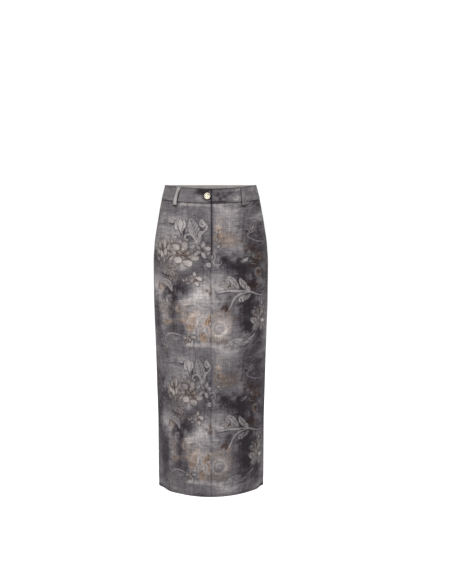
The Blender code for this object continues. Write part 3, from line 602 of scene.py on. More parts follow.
def level_column(name, height):
    """One column of LEVELS at any height. Each span is a cubic, whose slope at a row is the
    harmonic mean of the slopes beside it, or level where they differ in sign."""
    table = np.array(LEVELS)[::-1]
    rows = table[:, LEVEL_COLUMNS.index("height")]
    values = table[:, LEVEL_COLUMNS.index(name)]
    span_height = np.diff(rows)
    slope = np.diff(values) / span_height
    below, above = slope[:-1], slope[1:]
    together = np.where(below * above > 0.0, below + above, 1.0)
    inner = np.where(below * above > 0.0, 2.0 * below * above / together, 0.0)
    tangent = np.concatenate((slope[:1], inner, slope[-1:]))
    span = np.clip(np.searchsorted(rows, height) - 1, 0, len(slope) - 1)
    t = (height - rows[span]) / span_height[span]
    start = (1.0 + 2.0 * t) * (1.0 - t) ** 2 * values[span]
    end = t * t * (3.0 - 2.0 * t) * values[span + 1]
    bends = t * (1.0 - t) ** 2 * tangent[span] - t * t * (1.0 - t) * tangent[span + 1]
    return start + end + bends * span_height[span]


def turn_at(across, height):
    """The angle at a distance across from the centre: the arcsine of its share of the half
    width."""
    return np.degrees(np.arcsin(across / level_column("half_width", height)))


def turned(angle, turn):
    """From one angle to another the short way round, between -180 and 180."""
    return (angle - turn + 180.0) % 360.0 - 180.0


def form(angle, height):
    """The skirt without its folds: across is the half width times the sine of the angle, out
    is the depth times the cosine, raised to the tightness."""
    turn = np.radians(angle)
    facing = np.cos(turn)
    front, back = level_column("front_depth", height), level_column("back_depth", height)
    depth = np.where(facing >= 0.0, front, back)
    across = level_column("half_width", height) * np.sin(turn)
    out = -np.sign(facing) * depth * np.abs(facing) ** level_column("tightness", height)
    return np.stack((across, out, height), axis=-1)


def outward(surface, angle, height):
    """The unit normal of a surface, square to its steps round the body and up it."""
    along = surface(angle + TURN_STEP, height) - surface(angle - TURN_STEP, height)
    up = surface(angle, height + RISE_STEP) - surface(angle, height - RISE_STEP)
    normal = np.cross(along, up)
    return normal / np.linalg.norm(normal, axis=-1, keepdims=True)


def fold_depth(angle, height):
    """The folds, each a bell across its width and a wave along its length, and the creases,
    each a soft trough round the line between its two places, with a slight ridge beside it."""
    total = np.zeros(np.broadcast(angle, height).shape)
    for turn, lean, reach, depth, top, foot in FOLDS:
        along = np.clip((top - height) / (top - foot), 0.0, 1.0)
        beside = turned(angle - turn, lean * along)
        total += depth * bell(beside, reach) * np.sin(np.pi * along) ** 2
    for turn, start, last_turn, end, width, depth in CREASES:
        girth, rise = (last_turn - turn) * GIRTH_PER_DEGREE, end - start
        beside = turned(angle, turn) * GIRTH_PER_DEGREE
        length = np.hypot(girth, rise)
        along = np.clip((beside * girth + (height - start) * rise) / length ** 2, 0.0, 1.0)
        apart = np.hypot(beside - along * girth, height - start - along * rise) / width
        trough = bell(apart, 1.0) * (1.0 - 0.6 * apart ** 2)
        total += depth * trough * np.sin(np.pi * along) ** 0.8
    return total


def skin(angle, height):
    """The outer face of the panels: the form, moved out by the folds."""
    out = fold_depth(angle, height)[..., None] * outward(form, angle, height)
    return form(angle, height) + out


def layer(angle, height, offset):
    """The outer face moved out by an offset, which may differ from point to point."""
    angle, height, offset = np.broadcast_arrays(angle, height, offset)
    return skin(angle, height) + offset[..., None] * outward(skin, angle, height)


def top_edge(angle):
    """Height of the waistband's top edge: it dips in front and hardly rises behind."""
    facing = np.cos(np.radians(angle))
    return SIDE_TOP + np.where(facing >= 0.0, -FRONT_DIP, BACK_RISE) * facing ** 2


def band_seam(angle):
    """Height of the top edge of the panels, just below the waistband."""
    return top_edge(angle) - BAND_HEIGHT - SEAM_OPEN


# ==== The four panels ========================================================================
# Two fronts and two backs of the printed denim, seamed at the sides and up the centre back. The
# right front laps over the left one at the fly and is seamed to it below. The hem is turned up
# inside and sewn, and the back seam ends above the hem in a walking slit.

FLY_FOOT = -0.150
FLY_LAP = 0.012
FLY_TUCK = 0.012
FLY_BLEND = 0.020
STEP_START = 0.002
STEP_END = 0.012
SLIT_TOP = -0.600
SLIT_SPREAD = 0.006
PANEL_COLUMNS = 148               # quads across a panel, 1.5 mm each
PANEL_ROWS = 560
THINNED = 4                       # the inner face has every fourth row and column
EDGE_STEPS = (0.0, 0.0007, 0.0016, 0.0030)        # closer columns and rows beside an edge
HEM_STEPS = (0.0115, 0.0102, 0.0092, 0.0080, 0.0065, 0.0050, 0.0035, 0.0022, 0.0013, 0.0007,
             0.0003, 0.0)
LAP_COLUMNS = 8                   # on the left front's extension, and on its step by the fly
STEP_COLUMNS = 8
SEAM_SINK = 0.0005                # the face is drawn in along a seam, over this width
SEAM_FLANK = 0.0026
ALLOWANCE_SWELL = 0.00025         # and lifted by the seam allowance behind it
PUCKER_DEPTH = 0.00008
PUCKER_SPACING = 0.0085
HEM_EDGE = 0.0013                 # radius of the folded lower edge
HEM_SEWN = 0.0095                 # height of its row of stitches
LOWER_SHADE = 0.10                   # painted shade: the lower half darker, from this height on
LOWER_SHADE_FROM = -0.432
LOWER_SHADE_OVER = 0.090
# Painted shade beside edges: how much light it takes, over what width, and how far from an edge.
HEM_SHADE = ((0.16, 0.0060, 0.0050), (0.14, 0.0035, 0.0))
SEAM_SHADE = ((0.13, 0.0016, 0.0), (0.04, 0.0060, 0.0))
FLY_SHADE = ((0.50, 0.0042, 0.0020),)
UNDER_BAND_SHADE = ((0.55, 0.0014, 0.0), (0.05, 0.0100, 0.0))
LOOP_FOOT = 0.0120                # how far the belt loops reach below the band
LOOP_HALF = 0.0080                # half the width of the shadow at their foot
LOOP_FOOT_SHADE = 0.72
LOOP_SIDE_SHADE = ((0.42, 0.0018, 0.0082),)
DARKEST = 0.80                    # the most that all of them take together
DRAWN_IN = 0.028                  # how the right front's print leans, and is drawn together
DRAWN_TOGETHER = 0.28             # further down
LOOP_TURNS = ((-42.6, -1.6), (41.6, -1.4), (139.0, 0.8), (-139.0, -0.8), (180.0, 0.0))
# Patches of painted shade and uneven print, lighter (+) or darker: across, drop, wide, tall, lift.
SHADE_AND_PRINT_PATCHES = (
    (145, 455, 48, 34, -0.32), (-160, 450, 42, 14, -0.12), (-176, 500, 14, 30, 0.2),
    (-75, 548, 16, 14, -0.16), (62, 515, 24, 55, -0.2), (-138, 562, 16, 16, 0.18),
    (25, 588, 14, 22, -0.16), (-50, 600, 12, 12, -0.2), (-178, 652, 14, 28, 0.24),
    (-74, 700, 14, 34, 0.14), (50, 699, 14, 10, -0.22), (100, 690, 20, 24, -0.13),
    (-180, 765, 22, 64, -0.24), (100, 580, 20, 14, -0.28), (50, 730, 14, 13, 0.28),
    (165, 765, 24, 60, 0.1), (66, 775, 36, 36, -0.12), (108, 815, 32, 22, -0.34),
    (25, 803, 24, 16, -0.2),
)


def shaded(distance, shades):
    """The light that painted shade takes beside an edge, by the distance from it: a sum of bells.
    """
    return sum(taken * bell(distance, wide, away) for taken, wide, away in shades)


def place_mesh(name, points, faces, materials, slots=None):
    """A mesh object at the origin, smooth but for edges sharper than 40 degrees."""
    mesh = bpy.data.meshes.new(name)
    mesh.from_pydata(points.tolist(), [], faces)
    for material in materials:
        mesh.materials.append(material)
    if slots is not None:
        mesh.polygons.foreach_set("material_index", slots)
    mesh.shade_smooth()
    mesh.set_sharp_from_angle(angle=np.radians(40.0))
    piece = bpy.data.objects.new(name, mesh)
    bpy.context.collection.objects.link(piece)
    return piece


def quads(index):
    """The faces of a grid of point numbers, whose rows run down and whose columns run round."""
    corners = (index[:-1, :-1], index[1:, :-1], index[1:, 1:], index[:-1, 1:])
    return np.stack(corners, axis=-1).reshape(-1, 4)


def rim_of(index):
    """The outline of such a grid, down its first column and on round."""
    return np.concatenate((index[:, 0], index[-1, 1:], index[-2::-1, -1], index[0, -2:0:-1]))


def closed_shell(name, outer, inner, thinned, materials):
    """A closed shell between a fine outer grid and an inner one with fewer rows and columns.

    The first material covers the outer face and the rim, the second one the inner face.
    """
    fine = np.arange(outer[..., 0].size).reshape(outer.shape[:2])
    coarse = np.arange(inner[..., 0].size).reshape(inner.shape[:2]) + fine.size
    edge, back_edge = rim_of(fine), rim_of(coarse)
    start = np.arange(len(back_edge))[:, None] * thinned
    ahead = edge[(start + np.arange(thinned, -1, -1)) % len(edge)]
    rim = np.hstack((ahead, back_edge[:, None], np.roll(back_edge, -1)[:, None]))
    outside, inside = quads(fine), quads(coarse)[:, ::-1]
    faces = outside.tolist() + rim.tolist() + inside.tolist()
    slots = np.repeat((0, 1), (len(outside) + len(rim), len(inside)))
    points = np.concatenate((outer.reshape(-1, 3), inner.reshape(-1, 3)))
    return place_mesh(name, points, faces, materials, slots)


def carry_print(piece, inks, worn, weave_across, weave_up, thinned=None):
    """Give a piece its inks and wear as a point colour, and a weave map in metres. Where the
    piece is a closed shell, its thinned inner face takes the same values."""
    grids = np.broadcast_arrays(*np.moveaxis(inks, -1, 0), worn, weave_across, weave_up)
    flat = [grid.ravel() for grid in grids]
    if thinned:
        inner = [grid[::thinned, ::thinned].ravel() for grid in grids]
        flat = [np.concatenate(pair) for pair in zip(flat, inner)]
    mesh = piece.data
    colour = mesh.color_attributes.new("print", "FLOAT_COLOR", "POINT")
    colour.data.foreach_set("color", np.stack(flat[:4], axis=-1).ravel())
    corner = np.empty(len(mesh.loops), dtype=np.int32)
    mesh.loops.foreach_get("vertex_index", corner)
    weave_map = mesh.uv_layers.new(name="weave")
    weave_map.uv.foreach_set("vector", np.stack(flat[4:], axis=-1)[corner].ravel())


def columns_between(first, last, count, first_steps=EDGE_STEPS, last_steps=EDGE_STEPS):
    """Angles of a panel's columns: even along the girth at mid height, closer at its edges."""
    fine = np.linspace(first, last, 3000)
    steps = np.linalg.norm(np.diff(form(fine, np.full(fine.shape, -0.45)), axis=0), axis=1)
    girth = np.concatenate(((0.0,), np.cumsum(steps)))
    start, end = np.array(first_steps), girth[-1] - np.array(last_steps[::-1])
    middle = np.linspace(start[-1], end[0], count + 3 - len(start) - len(end))[1:-1]
    return np.interp(np.concatenate((start, middle, end)), girth, fine)


def heights_at(angle):
    """Heights of a panel's points, from the band seam at their own angle down to the hem: the
    rows keep their shares of the way, and are closer together at both ends."""
    long = float(band_seam(0.0)) - HEM
    top, foot = np.array(EDGE_STEPS), long - np.array(HEM_STEPS)
    middle = np.linspace(top[-1], foot[0], PANEL_ROWS + 3 - len(top) - len(foot))[1:-1]
    shares = np.concatenate((top, middle, foot)) / long
    return band_seam(angle) - shares[:, None] * (band_seam(angle) - HEM)


def sewn_relief(edge, along, phase):
    """How a seam shapes the face beside it, by the distance from it: the face sinks to it,
    swells over the allowance behind, and puckers in a wave along it whose length drifts."""
    sink = 0.6 * SEAM_SINK * (1.0 - ease(edge / SEAM_FLANK))
    swell = ALLOWANCE_SWELL * ease(edge / 0.004) * (1.0 - ease((edge - 0.009) / 0.003))
    drift = 1.6 * np.sin(along / 0.031 + phase) + 1.1 * np.sin(along / 0.0137 + 2.0 * phase)
    wave = np.sin(2.0 * np.pi * along / PUCKER_SPACING + drift) * bell(edge, 0.008)
    return swell + PUCKER_DEPTH * wave * ease(edge / 0.0014) - sink


def hem_relief(up, girth):
    """How the hem shapes the face above the lower edge: the edge is a round fold, the turned
    cloth stands out, its stitches draw it in, and slanting ripples cross it."""
    fold = HEM_EDGE - np.sqrt(HEM_EDGE ** 2 - (HEM_EDGE - np.clip(up, 0.0, HEM_EDGE)) ** 2)
    thick = 0.0003 * (1.0 - ease((up - HEM_SEWN) / 0.002))
    drawn = 0.00035 * bell(up, 0.0008, HEM_SEWN)
    slant = 2.0 * np.pi * (girth + 0.8 * up) / 0.0115 + 1.4 * np.sin(girth / 0.027)
    ripple = 0.00022 * np.sin(slant) * bell(up, 0.0045, 0.0055)
    return thick + ripple - fold - drawn


def panel(name, angle, height, under, centre, seams, screen, shift, drawn, materials):
    """One panel as a closed shell, with its print measured from its centre edge.

    `centre` is a column and its distance from that edge. `seams` has one row for each side
    edge: its column, a mask of where it is sewn, the axis along which it is moved back from the
    seam, and how far. `drawn` is 1 where the print leans to the centre and is drawn together
    further down, and 0 elsewhere.
    """
    angle, height, under = np.broadcast_arrays(angle, height, under)
    face, square = skin(angle, height), outward(skin, angle, height)
    steps = np.linalg.norm(np.diff(face - under[..., None] * square, axis=1), axis=-1)
    girth = np.hstack((np.zeros((len(face), 1)), np.cumsum(steps, axis=1)))
    girth += centre[1] - girth[:, [centre[0]]]
    relief = hem_relief(height - HEM, girth)
    below_band = height[:1] - height
    relief -= SEAM_SINK * (1.0 - ease(below_band / SEAM_FLANK))
    worn = 0.55 * bell(height, 0.0016, HEM)
    # Painted shade: shadows by the hem, band, fly, loops and seams, and darker lower down.
    shade = shaded(height - HEM, HEM_SHADE) + shaded(below_band, UNDER_BAND_SHADE)
    shade += LOWER_SHADE * ease((LOWER_SHADE_FROM - height) / LOWER_SHADE_OVER)
    shade += (under > 0.0) * shaded(girth, FLY_SHADE)
    for across, drop, wide, tall, lift in SHADE_AND_PRINT_PATCHES:
        below = (PRINT_TOP - height) / MILLIMETRE - drop
        far = np.hypot((girth / MILLIMETRE - across) / wide, below / tall)
        shade -= lift * bell(far, 1.0, power=2.4)
    for loop_turn, loop_lean in LOOP_TURNS:
        beside_loop = np.abs(turned(angle - loop_turn, loop_lean)) * GIRTH_PER_DEGREE
        foot = bell(below_band, 0.0026, LOOP_FOOT) * bell(beside_loop, LOOP_HALF, power=6)
        side_of_it = shaded(beside_loop, LOOP_SIDE_SHADE) * (below_band < LOOP_FOOT)
        shade += LOOP_FOOT_SHADE * foot + side_of_it
    for phase, (column, sewn, *_) in enumerate(seams):
        edge = np.abs(girth - girth[:, [column]])
        relief += sewn * sewn_relief(edge, height, phase + 1.3 * len(name))
        shade += sewn * shaded(edge, SEAM_SHADE)
    cloth = np.where(height <= HEM + HEM_TURN + CLOTH / 2.0, HEM_CLOTH, CLOTH)
    outer = face + (relief - under)[..., None] * square
    inner = face - (under + cloth)[..., None] * square
    for column, _, axis, moved in seams:
        beside = 1.0 - ease(np.abs(girth - girth[:, [column]]) / 0.016)
        outer[..., axis] += (moved + SEAM_SLANT) * beside
        inner[..., axis] += (moved - SEAM_SLANT) * beside
    inner[0, :, 2] += 2.0 * SEAM_SLANT * ease((np.abs(girth[0]) - 0.026) / 0.004)
    inner = inner[::THINNED, ::THINNED]
    piece = closed_shell(name, outer, inner, THINNED, materials)
    drop = (PRINT_TOP - height) / MILLIMETRE
    across = girth / MILLIMETRE + shift[0]
    across *= 1.0 + DRAWN_TOGETHER * drawn * ease((drop - 330.0) / 200.0)
    across -= DRAWN_IN * drawn * drop * (1.0 - ease((drop - 415.0) / 300.0))
    inks = screen.take(across, drop + shift[1])
    # The painted shade darkens the print's lightness.
    inks[..., TONE] *= 1.0 - np.minimum(shade, DARKEST)
    carry_print(piece, inks, worn, girth, height, THINNED)
    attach(piece, "root")
    return piece


# The denim: ring-spun cotton twill, washed and then printed. The print is the point colour
# "print" (red: lightness on screen, with painted shade in it, green: pale ink, blue: brown
# ink, alpha: wear), and the threads are worked out from the weave map, whose unit is a metre.

def paint(red, green, blue):
    """A linear colour from its screen values, 0 to 255: (value + 0.055) / 1.055, to the 2.4."""
    screen = np.array((red, green, blue)) / 255.0
    return (*(((screen + 0.055) / 1.055) ** 2.4).tolist(), 1.0)


def node_group(name, inputs, outputs):
    """An empty shader node group with these named sockets."""
    group = bpy.data.node_groups.new(name, "ShaderNodeTree")
    for in_out, sockets in (("INPUT", inputs), ("OUTPUT", outputs)):
        for socket, kind in sockets:
            group.interface.new_socket(socket, in_out=in_out, socket_type="NodeSocket" + kind)
    return group, group.nodes.new("NodeGroupInput"), group.nodes.new("NodeGroupOutput")


def feed(tree, socket, value):
    """Give a socket its value: a constant, or the socket that feeds it."""
    if isinstance(value, bpy.types.NodeSocket):
        tree.links.new(value, socket)
    else:
        socket.default_value = value


def add_node(tree, kind, **values):
    """A node of a kind with these inputs. Underscores in their names stand for spaces."""
    node = tree.nodes.new("ShaderNode" + kind)
    for name, value in values.items():
        feed(tree, node.inputs[name.replace("_", " ")], value)
    return node


def math_node(tree, operation, *values):
    """A math node of those values, each a number or a socket."""
    node = add_node(tree, "Math")
    node.operation = operation
    for socket, value in zip(node.inputs, values):
        feed(tree, socket, value)
    return node.outputs[0]


def noise(tree, vector, scale, stretch=(1.0, 1.0, 1.0), detail=2.0, roughness=0.5):
    """Noise over a vector that is first stretched along its axes."""
    place = add_node(tree, "Mapping", Vector=vector, Scale=stretch).outputs["Vector"]
    texture = add_node(
        tree, "TexNoise", Vector=place, Scale=scale, Detail=detail, Roughness=roughness)
    return texture.outputs["Fac"]


def mixed(tree, kind, share, first, second):
    """A colour mix of that kind. A share or colour is a constant or a socket."""
    node = add_node(tree, "Mix")
    node.data_type = "RGBA"
    node.blend_type = kind
    for place, value in ((0, share), (6, first), (7, second)):
        feed(tree, node.inputs[place], value)
    return node.outputs[2]


def twill_group():
    """Denim weave from a map in metres: slanting ribs of warp thread, broken by each thread's
    own thickness, with slubs along both directions of thread and a soft fuzz."""
    group, given, result = node_group(
        "denim weave",
        (("Weave map", "Vector"), ("Rib spacing", "Float")),
        (("Ribs", "Float"), ("Slubs", "Float"), ("Height", "Float")),
    )
    place = given.outputs["Weave map"]
    split = add_node(group, "SeparateXYZ", Vector=place)
    across, up = split.outputs["X"], split.outputs["Y"]
    wobble = noise(group, place, 260.0)
    slant = math_node(group, "ADD", across, math_node(group, "MULTIPLY", up, 0.55))
    turns = math_node(group, "DIVIDE", slant, given.outputs["Rib spacing"])
    drift = math_node(group, "MULTIPLY_ADD", wobble, 2.2, turns)
    rib = math_node(group, "SINE", math_node(group, "MULTIPLY", drift, 2.0 * np.pi))
    ribs = math_node(group, "MULTIPLY_ADD", rib, 0.5, 0.5)
    warp = noise(group, place, 1.0, (1400.0, 42.0, 1.0), 3.0)
    weft = noise(group, place, 1.0, (46.0, 1300.0, 1.0), 3.0)
    slubs = math_node(group, "MULTIPLY_ADD", weft, 0.42, math_node(group, "MULTIPLY", warp, 0.58))
    height = math_node(group, "MULTIPLY_ADD", slubs, 1.3, math_node(group, "MULTIPLY", ribs, 0.7))
    for name, value in (("Ribs", ribs), ("Slubs", slubs), ("Height", height)):
        feed(group, result.inputs[name], value)
    return group


def new_material(name, **values):
    """A new material and its tree, its Principled shader set to these values."""
    material = bpy.data.materials.new(name)
    material.use_nodes = True
    tree = material.node_tree
    shader = tree.nodes["Principled BSDF"]
    for socket, value in values.items():
        feed(tree, shader.inputs[socket.replace("_", " ")], value)
    return material, tree, shader


def cloth_material(name, roughness, sheen):
    """A new material set for cloth."""
    return new_material(
        name, Roughness=roughness, Sheen_Weight=sheen, Sheen_Roughness=0.45,
        Specular_IOR_Level=0.10)


def woven(tree):
    """The weave map, and the weave that is worked out from it."""
    weave_map = add_node(tree, "UVMap")
    weave_map.uv_map = "weave"
    threads = add_node(tree, "Group")
    threads.node_tree = weave
    feed(tree, threads.inputs["Weave map"], weave_map.outputs[0])
    feed(tree, threads.inputs["Rib spacing"], RIB_SPACING)
    return weave_map.outputs[0], threads.outputs


def raised(tree, shader, height, distance, strength=0.6):
    """Feed a height to the shader's normal."""
    bump = add_node(tree, "Bump", Height=height, Distance=distance, Strength=strength)
    feed(tree, shader.inputs["Normal"], bump.outputs["Normal"])


weave = twill_group()
RIB_SPACING = 0.00085
MEAN_LIFT = 1.0 - 0.035 - 0.08 - 0.04       # keeps the mean tone, as the threads vary it
PALE_INK = (1.055, 1.0, 0.865, 1.0)         # what each ink multiplies the colour by
BROWN_INK = (1.30, 0.95, 0.64, 1.0)
TONE_STOPS = (
    (0.160, (42, 38, 42)),
    (0.245, (62, 57, 62)),
    (0.420, (108, 104, 107)),
    (0.640, (168, 162, 162)),
    (0.800, (212, 206, 205)),
)


def printed_denim(name):
    """Tone looked up on a ramp from purple-grey to warm pale grey, tinted by the two inks, then
    varied by the threads and bleached where it is worn."""
    material, tree, shader = cloth_material(name, 0.86, 0.05)
    painted = add_node(tree, "Attribute")
    painted.attribute_name = "print"
    inks = add_node(tree, "SeparateColor", Color=painted.outputs["Color"])
    weave_map, threads = woven(tree)
    speckle = noise(tree, weave_map, 900.0, detail=3.0, roughness=0.7)
    patch = noise(tree, weave_map, 34.0, detail=4.0, roughness=0.6)
    uneven = math_node(tree, "MULTIPLY_ADD", threads["Slubs"], 0.30, -0.15)
    uneven = math_node(tree, "MULTIPLY_ADD", threads["Ribs"], 0.07, uneven)
    uneven = math_node(tree, "MULTIPLY_ADD", speckle, 0.16, uneven)
    uneven = math_node(tree, "MULTIPLY_ADD", patch, 0.08, uneven)
    lift = math_node(tree, "ADD", uneven, MEAN_LIFT)
    tone = math_node(tree, "MULTIPLY", inks.outputs["Red"], lift)
    speckle = math_node(tree, "POWER", speckle, 0.8)
    bleach = math_node(tree, "MULTIPLY", painted.outputs["Alpha"], speckle)
    tone = math_node(tree, "MULTIPLY_ADD", bleach, 0.30, tone)
    ramp = add_node(tree, "ValToRGB", Fac=tone)
    stops = ramp.color_ramp.elements
    for stop, (place, colour) in enumerate(TONE_STOPS):
        element = stops[stop] if stop < 2 else stops.new(place)
        element.position = place
        element.color = paint(*colour)
    warm = mixed(tree, "MULTIPLY", inks.outputs["Green"], ramp.outputs[0], PALE_INK)
    rusty = mixed(tree, "MULTIPLY", inks.outputs["Blue"], warm, BROWN_INK)
    feed(tree, shader.inputs["Base Color"], rusty)
    raised(tree, shader, threads["Height"], 0.00022)
    return material


def plain_denim(name, colour, ribs=0.10):
    """The reverse of the cloth, and other unprinted denim: one dye, varied by its threads."""
    material, tree, shader = cloth_material(name, 0.9, 0.05)
    weave_map, threads = woven(tree)
    patch = noise(tree, weave_map, 40.0, detail=3.0)
    uneven = math_node(tree, "MULTIPLY_ADD", threads["Ribs"], ribs, threads["Slubs"])
    uneven = math_node(tree, "MULTIPLY_ADD", patch, 0.4, uneven)
    level = math_node(tree, "MULTIPLY_ADD", uneven, 0.9, 0.32)
    grey = add_node(tree, "CombineColor", Red=level, Green=level, Blue=level).outputs[0]
    feed(tree, shader.inputs["Base Color"], mixed(tree, "MULTIPLY", 1.0, grey, paint(*colour)))
    raised(tree, shader, threads["Height"], 0.00025)
    return material


printed_cloth = printed_denim("printed denim")
reverse_cloth = plain_denim("denim reverse", (206, 201, 198))
panel_cloths = [printed_cloth, reverse_cloth]

# The right front. Its centre edge is the fly edge, which laps over the left front.
turn = columns_between(-90.0, 0.0, PANEL_COLUMNS)[None, :]
rise = heights_at(turn)
right_front = panel(
    "front_right_cloth", turn, rise, 0.0, (PANEL_COLUMNS, 0.0),
    ((0, 1.0, 1, -SEAM_OPEN / 2.0), (PANEL_COLUMNS, 1.0, 0, -SEAM_OPEN / 2.0)),
    fronts, (0.0, 0.0), 1.0, panel_cloths,
)
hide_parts("front_right")

# The left front lies one layer lower beside the fly and goes on under the right one. The
# extension tapers away below the fly's foot, and from there the two meet edge to edge.
centre_rise = heights_at(np.zeros(1))
lap = FLY_LAP * ease((centre_rise - FLY_FOOT + FLY_TUCK) / FLY_TUCK)
tucked = STEP_START - (STEP_START + lap) * np.linspace(1.0, 0.0, LAP_COLUMNS + 1)
rising = np.linspace(STEP_START, STEP_END, STEP_COLUMNS + 1)[1:]
fly_across = np.hstack((tucked, np.broadcast_to(rising, (len(lap), STEP_COLUMNS))))
fly_turn = turn_at(fly_across, centre_rise)
count = PANEL_COLUMNS - LAP_COLUMNS - STEP_COLUMNS
share = columns_between(5.0, 90.0, count, first_steps=(0.0, 0.0015))
share = (share[1:] - 5.0) / 85.0
turn = np.hstack((fly_turn, fly_turn[:, -1:] + (90.0 - fly_turn[:, -1:]) * share))
rise = heights_at(turn)
across = level_column("half_width", rise) * np.sin(np.radians(turn))
beside_fly = 1.0 - ease((across - STEP_START) / (STEP_END - STEP_START))
above_foot = ease((centre_rise - FLY_FOOT + FLY_TUCK + FLY_BLEND) / FLY_BLEND)
under = (CLOTH + SEAM_GAP) * beside_fly * above_foot
left_front = panel(
    "front_left_cloth", turn, rise, under, (LAP_COLUMNS, STEP_START),
    ((0, 1.0 - above_foot, 0, SEAM_OPEN / 2.0), (PANEL_COLUMNS, 1.0, 1, -SEAM_OPEN / 2.0)),
    fronts, (0.0, 0.0), 0.0, panel_cloths,
)
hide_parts("front_left")

# The backs. Their print comes from another part of the same cloth, and their centre edges
# swing apart below the top of the slit.
BACKS = ((1.0, "back_left", (236.0, 150.0)), (-1.0, "back_right", (228.0, 150.0)))
for side, name, shift in BACKS:
    first, last = sorted((90.0 * side, 180.0 * side))
    turn = columns_between(first, last, PANEL_COLUMNS)[None, :]
    rise = heights_at(turn)
    seam_column, centre_column = (0, PANEL_COLUMNS) if side > 0.0 else (PANEL_COLUMNS, 0)
    slit = np.clip((SLIT_TOP - rise[:, [centre_column]]) / (SLIT_TOP - HEM), 0.0, 1.0)
    apart = side * (SEAM_OPEN + slit * SLIT_SPREAD) / 2.0
    back = panel(
        name + "_cloth", turn, rise, 0.0, (centre_column, 0.0),
        ((seam_column, 1.0, 1, SEAM_OPEN / 2.0), (centre_column, 1.0, 0, apart)),
        fronts, shift, 0.0, panel_cloths,
    )
    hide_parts(name)


# ==== The zip ================================================================================
# A closed zip behind the fly, out of sight: a woven tape, two rows of small metal teeth that
# meet in the middle of it, and the slider at their top. It is sewn to both fly edges.

ZIP_CLOTH = 0.0012
ZIP_WIDTH = 0.026
ZIP_EDGE = 0.001
ZIP_END_GAP = 0.004
TOOTH_PITCH = 0.0028
TOOTH_SIZE = (0.0034, 0.0011, 0.0012)       # length, width and height, and then the same for
SLIDER_SIZE = ((0.0085, 0.0160), (0.0062, 0.0040), (0.0030, 0.0012))  # the slider and its tab
SLIDER_TAB_DROP = 0.011
SLIDER_BELOW = 0.006              # below the tape's top, and the last tooth above its foot
TEETH_ABOVE = 0.004
BAR_SIDES = 6
BAR_SHAPE = ((-0.5, 0.35), (-0.38, 1.0), (0.38, 1.0), (0.5, 0.35))   # along, and how thick


def round_faces(index):
    """The faces between rings of point numbers, each of which closes on itself."""
    ahead = np.roll(index, -1, axis=1)
    return np.stack((index[:-1], ahead[:-1], ahead[1:], index[1:]), axis=-1).reshape(-1, 4)


def short_bars(name, middles, headings, normals, lengths, widths, heights, materials):
    """Round-ended bars, such as stitches or zip teeth: on each, rings of points round its
    heading, thinner at both ends, with a face across each end."""
    headings = headings / np.linalg.norm(headings, axis=1, keepdims=True)
    beside = np.cross(normals, headings)
    beside /= np.linalg.norm(beside, axis=1, keepdims=True)
    above = np.cross(headings, beside)
    along, thick = np.array(BAR_SHAPE).T
    spin = np.arange(BAR_SIDES) * 2.0 * np.pi / BAR_SIDES
    to_ring = (lengths[:, None] * along)[..., None, None]
    to_side = (0.5 * widths[:, None, None] * thick[:, None] * np.cos(spin))[..., None]
    to_top = (0.5 * heights[:, None, None] * thick[:, None] * np.sin(spin))[..., None]
    place = middles[:, None, None] + to_ring * headings[:, None, None]
    place = place + to_side * beside[:, None, None] + to_top * above[:, None, None]
    index = np.arange(len(along) * BAR_SIDES).reshape(len(along), BAR_SIDES)
    starts = np.arange(len(middles))[:, None, None] * index.size
    faces = (round_faces(index)[None] + starts).reshape(-1, 4).tolist()
    faces += (index[0][None, ::-1] + starts[:, 0]).tolist()
    faces += (index[-1][None] + starts[:, 0]).tolist()
    return place_mesh(name, place.reshape(-1, 3), faces, materials)


def metal(name, colour, roughness, brushed=0.06):
    """Polished or brushed metal: fine scratches in its roughness, and a faint one in relief."""
    material, tree, shader = new_material(name, Metallic=1.0)
    place = add_node(tree, "TexCoord").outputs["Object"]
    scratches = noise(tree, place, 1.0, (5200.0, 5200.0, 900.0), 3.0)
    clouding = noise(tree, place, 420.0)
    dull = math_node(tree, "MULTIPLY_ADD", scratches, brushed, roughness - 0.5 * brushed)
    dull = math_node(tree, "MULTIPLY_ADD", clouding, 0.05, dull)
    tint = mixed(tree, "MIX", clouding, paint(*colour), paint(*(0.93 * value for value in colour)))
    feed(tree, shader.inputs["Roughness"], dull)
    feed(tree, shader.inputs["Base Color"], tint)
    raised(tree, shader, scratches, 0.00001, 0.3)
    return material


tape_cloth = plain_denim("zip tape weave", (66, 64, 68), 0.3)
zip_metal = metal("zip metal", (176, 172, 164), 0.34)
edges = turn_at(np.array((-ZIP_EDGE - ZIP_WIDTH, -ZIP_EDGE)), FLY_FOOT / 2.0)
turn = np.linspace(*edges, 17)[None, :]
rise = np.linspace(float(band_seam(0.0)) - ZIP_END_GAP, FLY_FOOT + ZIP_END_GAP, 81)[:, None]
offset = -2.0 * (CLOTH + SEAM_GAP)
outer = layer(turn, rise, offset)
inner = layer(turn, rise, offset - ZIP_CLOTH)
tape = closed_shell("zip_tape_cloth", outer, inner, 1, [tape_cloth] * 2)
girth = np.broadcast_to((turn - turn[0, 0]) * GIRTH_PER_DEGREE, outer.shape[:2])
carry_print(tape, outer * 0.0, 0.0, girth, outer[..., 2], 1)
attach(tape, "root")
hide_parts("zip_tape")

